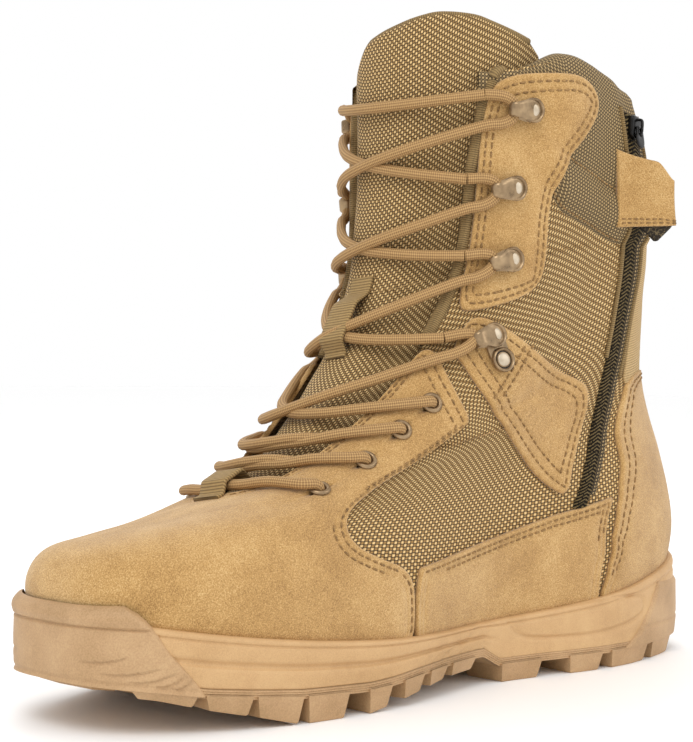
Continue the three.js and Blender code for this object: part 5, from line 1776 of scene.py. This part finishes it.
def flap_sheet(name, across, up, low_depth, high_depth, paint):
    """The flap as two faces with a rolled edge between them."""
    a, u = np.meshgrid(across, up, indexing="ij")
    edge = np.minimum(np.minimum(u - up[0], up[-1] - u) * 26, np.minimum(1 - a + 1e-6, 1) * 20)
    roll = 1 - np.sqrt(np.clip(1 - (1 - np.clip(edge / 0.8, 0, 1)) ** 2, 0, 1))
    middle = (low_depth + high_depth) / 2
    outside = flap_point(a, u, low_depth + (middle - low_depth) * roll)
    inside_face = flap_point(a, u, high_depth + (middle - high_depth) * roll)
    length = np.stack([a * 24, u * 26, 0 * a], -1)
    rows, columns = a.shape
    faces = grid_faces(rows, columns)
    faces += [[i + rows * columns for i in face[::-1]] for face in grid_faces(rows, columns)]
    corner_points = np.arange(rows * columns).reshape(rows, columns)
    border = np.concatenate([corner_points[0], corner_points[1:, -1], corner_points[-1, -2::-1],
                             corner_points[-2:0:-1, 0]])
    faces += [[b, a, a + rows * columns, b + rows * columns]
              for a, b in zip(border.tolist(), np.roll(border, -1).tolist())]
    points = np.concatenate([outside.reshape(-1, 3), inside_face.reshape(-1, 3)])
    return mesh(name, points, faces, paint, attributes={"cloth": np.tile(length.reshape(-1, 3), (2, 1))})


up = np.concatenate([[0, 0.01, 0.02, 0.035], np.linspace(0.06, 0.94, 24), [0.965, 0.98, 0.99, 1]])
across = np.concatenate([np.linspace(0, 0.94, 30), [0.96, 0.975, 0.99, 1]])
flap = flap_sheet("flap_suede", across, up, 0.0, 1.9, suede)
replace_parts(flap, "zip_flap")

# %% [markdown]
# A tape of dark loops lies under the flap and hangs out at its lower edge, and two rows of stitches
# hold it. Both follow the flap, so they are placed by its own across and up.

# %% Lining and stitches of the flap
loops = Paint("hook_lining", "zip_cord")
grain = loops.noise(1100.0, 2.0)
loops.set(Base_Color=loops.mix(linear("241d14"), linear("7b6a4a"), grain.ramp(0.5, 0.75)), Roughness=0.95,
          Normal=loops.bump(grain, 0.0008, 1.0))
low_share = np.linspace(0.45, 0.97, 16)


def hanging(drop, depth):
    """A row of the tape of loops: it hangs out lowest under the middle of the flap."""
    hang = np.clip(1 - np.abs(low_share - 0.74) / 0.28, 0, 1) * 6.5 * drop
    return flap_point(low_share, 0.02, depth) - np.array([0, 0, 1.0]) * hang[:, None]


fold_rows = [hanging(drop, 1.3 + 0.8 * drop) for drop in np.linspace(0, 1, 8)]
fold_rows += [hanging(drop, 2.6 + 0.6 * drop) for drop in np.linspace(1, 0, 8)]
grid_mesh("flap_hook_lining", np.stack(fold_rows), loops, None)

for level in (0.06, 0.115):
    at = np.linspace(0.1, 0.95, 9)
    before, after = flap_point(at - 0.02, level, -0.02), flap_point(at + 0.02, level, -0.02)
    centre = (before + after) / 2
    tangent = unit(after - before)
    outwards = unit(np.cross(flap_point(at, level + 0.03, -0.02) - centre, tangent))
    towards = flap_point(at, level, -1) - centre
    outwards *= np.sign(np.sum(outwards * towards, -1, keepdims=True))
    stitch = (centre, tangent, np.cross(outwards, tangent), outwards, 2.0, 0.36)
    gathered.setdefault("flap_stitches", []).append(stitch)
knit_stitches("flap_stitches", thread)

# %% [markdown]
# Behind the zip, up the heel, runs a ribbed strip of stiffer cloth.

# %% Back strip
ribbed = Paint("ribbed_cloth", "nylon")
x, y, _ = ribbed.along("cloth")
rib = ((y * 0.9 - x * 0.45) / 1.1 * math.pi).sine().size()
ribbed.set(Base_Color=ribbed.mix(linear("917648"), linear("cdac78"), rib.ramp(0.15, 0.8)), Roughness=0.85,
           Normal=ribbed.bump(rib, 0.0003, 0.9))
BACK_STRIP = [(0.425, 125.2), (0.5, 125.4), (0.6, 125), (0.722, 124.4), (0.728, 140), (0.73, 180)]
panel("back_strip_cloth", round_heel(BACK_STRIP, 0.425, 225), ribbed, thickness=0.7, pitch=2.8,
      edge=0.4, rows=())

# %% [markdown]
# The picture is taken from the front left, a little over the floor, with a long lens. The camera is
# turned by a small roll, and its lens is given by how many pixels its focal length spans.

# %% Camera
PHOTO_HEIGHT = 742
FOCAL_PIXELS = 1899
SENSOR = 36.0
CAMERA_DISTANCE = 689.0
azimuth, elevation, roll = (math.radians(v) for v in (-44.5, 0.65, 0.9))
aim = np.array([-17.8, 0.0, 112.3]) + SHIFT
back = np.array([math.sin(azimuth) * math.cos(elevation), -math.cos(azimuth) * math.cos(elevation),
                 math.sin(elevation)])
right = np.array([math.cos(azimuth), math.sin(azimuth), 0.0])
upright = np.cross(back, right)
rolled_right = math.cos(roll) * right + math.sin(roll) * upright
rolled_up = -math.sin(roll) * right + math.cos(roll) * upright
camera = bpy.data.objects.new("camera", bpy.data.cameras.new("camera"))
bpy.context.scene.collection.objects.link(camera)
camera.data.sensor_fit = "VERTICAL"
camera.data.sensor_height = SENSOR
camera.data.lens = FOCAL_PIXELS / PHOTO_HEIGHT * SENSOR
place = (aim + CAMERA_DISTANCE * back) * MM
rows = [[rolled_right[k], rolled_up[k], back[k], place[k]] for k in range(3)]
camera.matrix_world = Matrix([*rows, [0, 0, 0, 1]])
bpy.context.scene.camera = camera

# %% [markdown]
# A pale floor and a white world leave no hard shadow, and three soft lamps give the suede its shape.

# %% Floor and light
floor_paint = Paint("floor", None)
floor_paint.set(Base_Color=(0.99, 0.99, 0.99, 1), Roughness=0.6)
floor_data = bpy.data.meshes.new("floor")
floor_data.from_pydata([(-4, -4, 0), (4, -4, 0), (4, 4, 0), (-4, 4, 0)], [], [(0, 1, 2, 3)])
floor_data.materials.append(floor_paint.material)
floor = bpy.data.objects.new("floor", floor_data)
bpy.context.scene.collection.objects.link(floor)

world = bpy.data.worlds.new("studio")
bpy.context.scene.world = world
world.use_nodes = True
world.node_tree.nodes["Background"].inputs["Color"].default_value = (1, 1, 1, 1)
world.node_tree.nodes["Background"].inputs["Strength"].default_value = 1.0
bpy.context.scene.view_settings.view_transform = "Standard"


def lamp(name, place, size, power):
    """A soft square light that looks at the boot."""
    light = bpy.data.lights.new(name, "AREA")
    light.size = size
    light.energy = power
    holder = bpy.data.objects.new(name, light)
    bpy.context.scene.collection.objects.link(holder)
    holder.location = place
    holder.rotation_euler = (Vector((0, 0, 0.1)) - Vector(place)).to_track_quat("-Z", "Y").to_euler()


lamp("key_light", (-0.9, -0.6, 1.3), 0.8, 8)
lamp("side_light", (0.5, -1.2, 0.8), 0.7, 3)
lamp("back_light", (0.6, 1.0, 0.9), 0.8, 4)
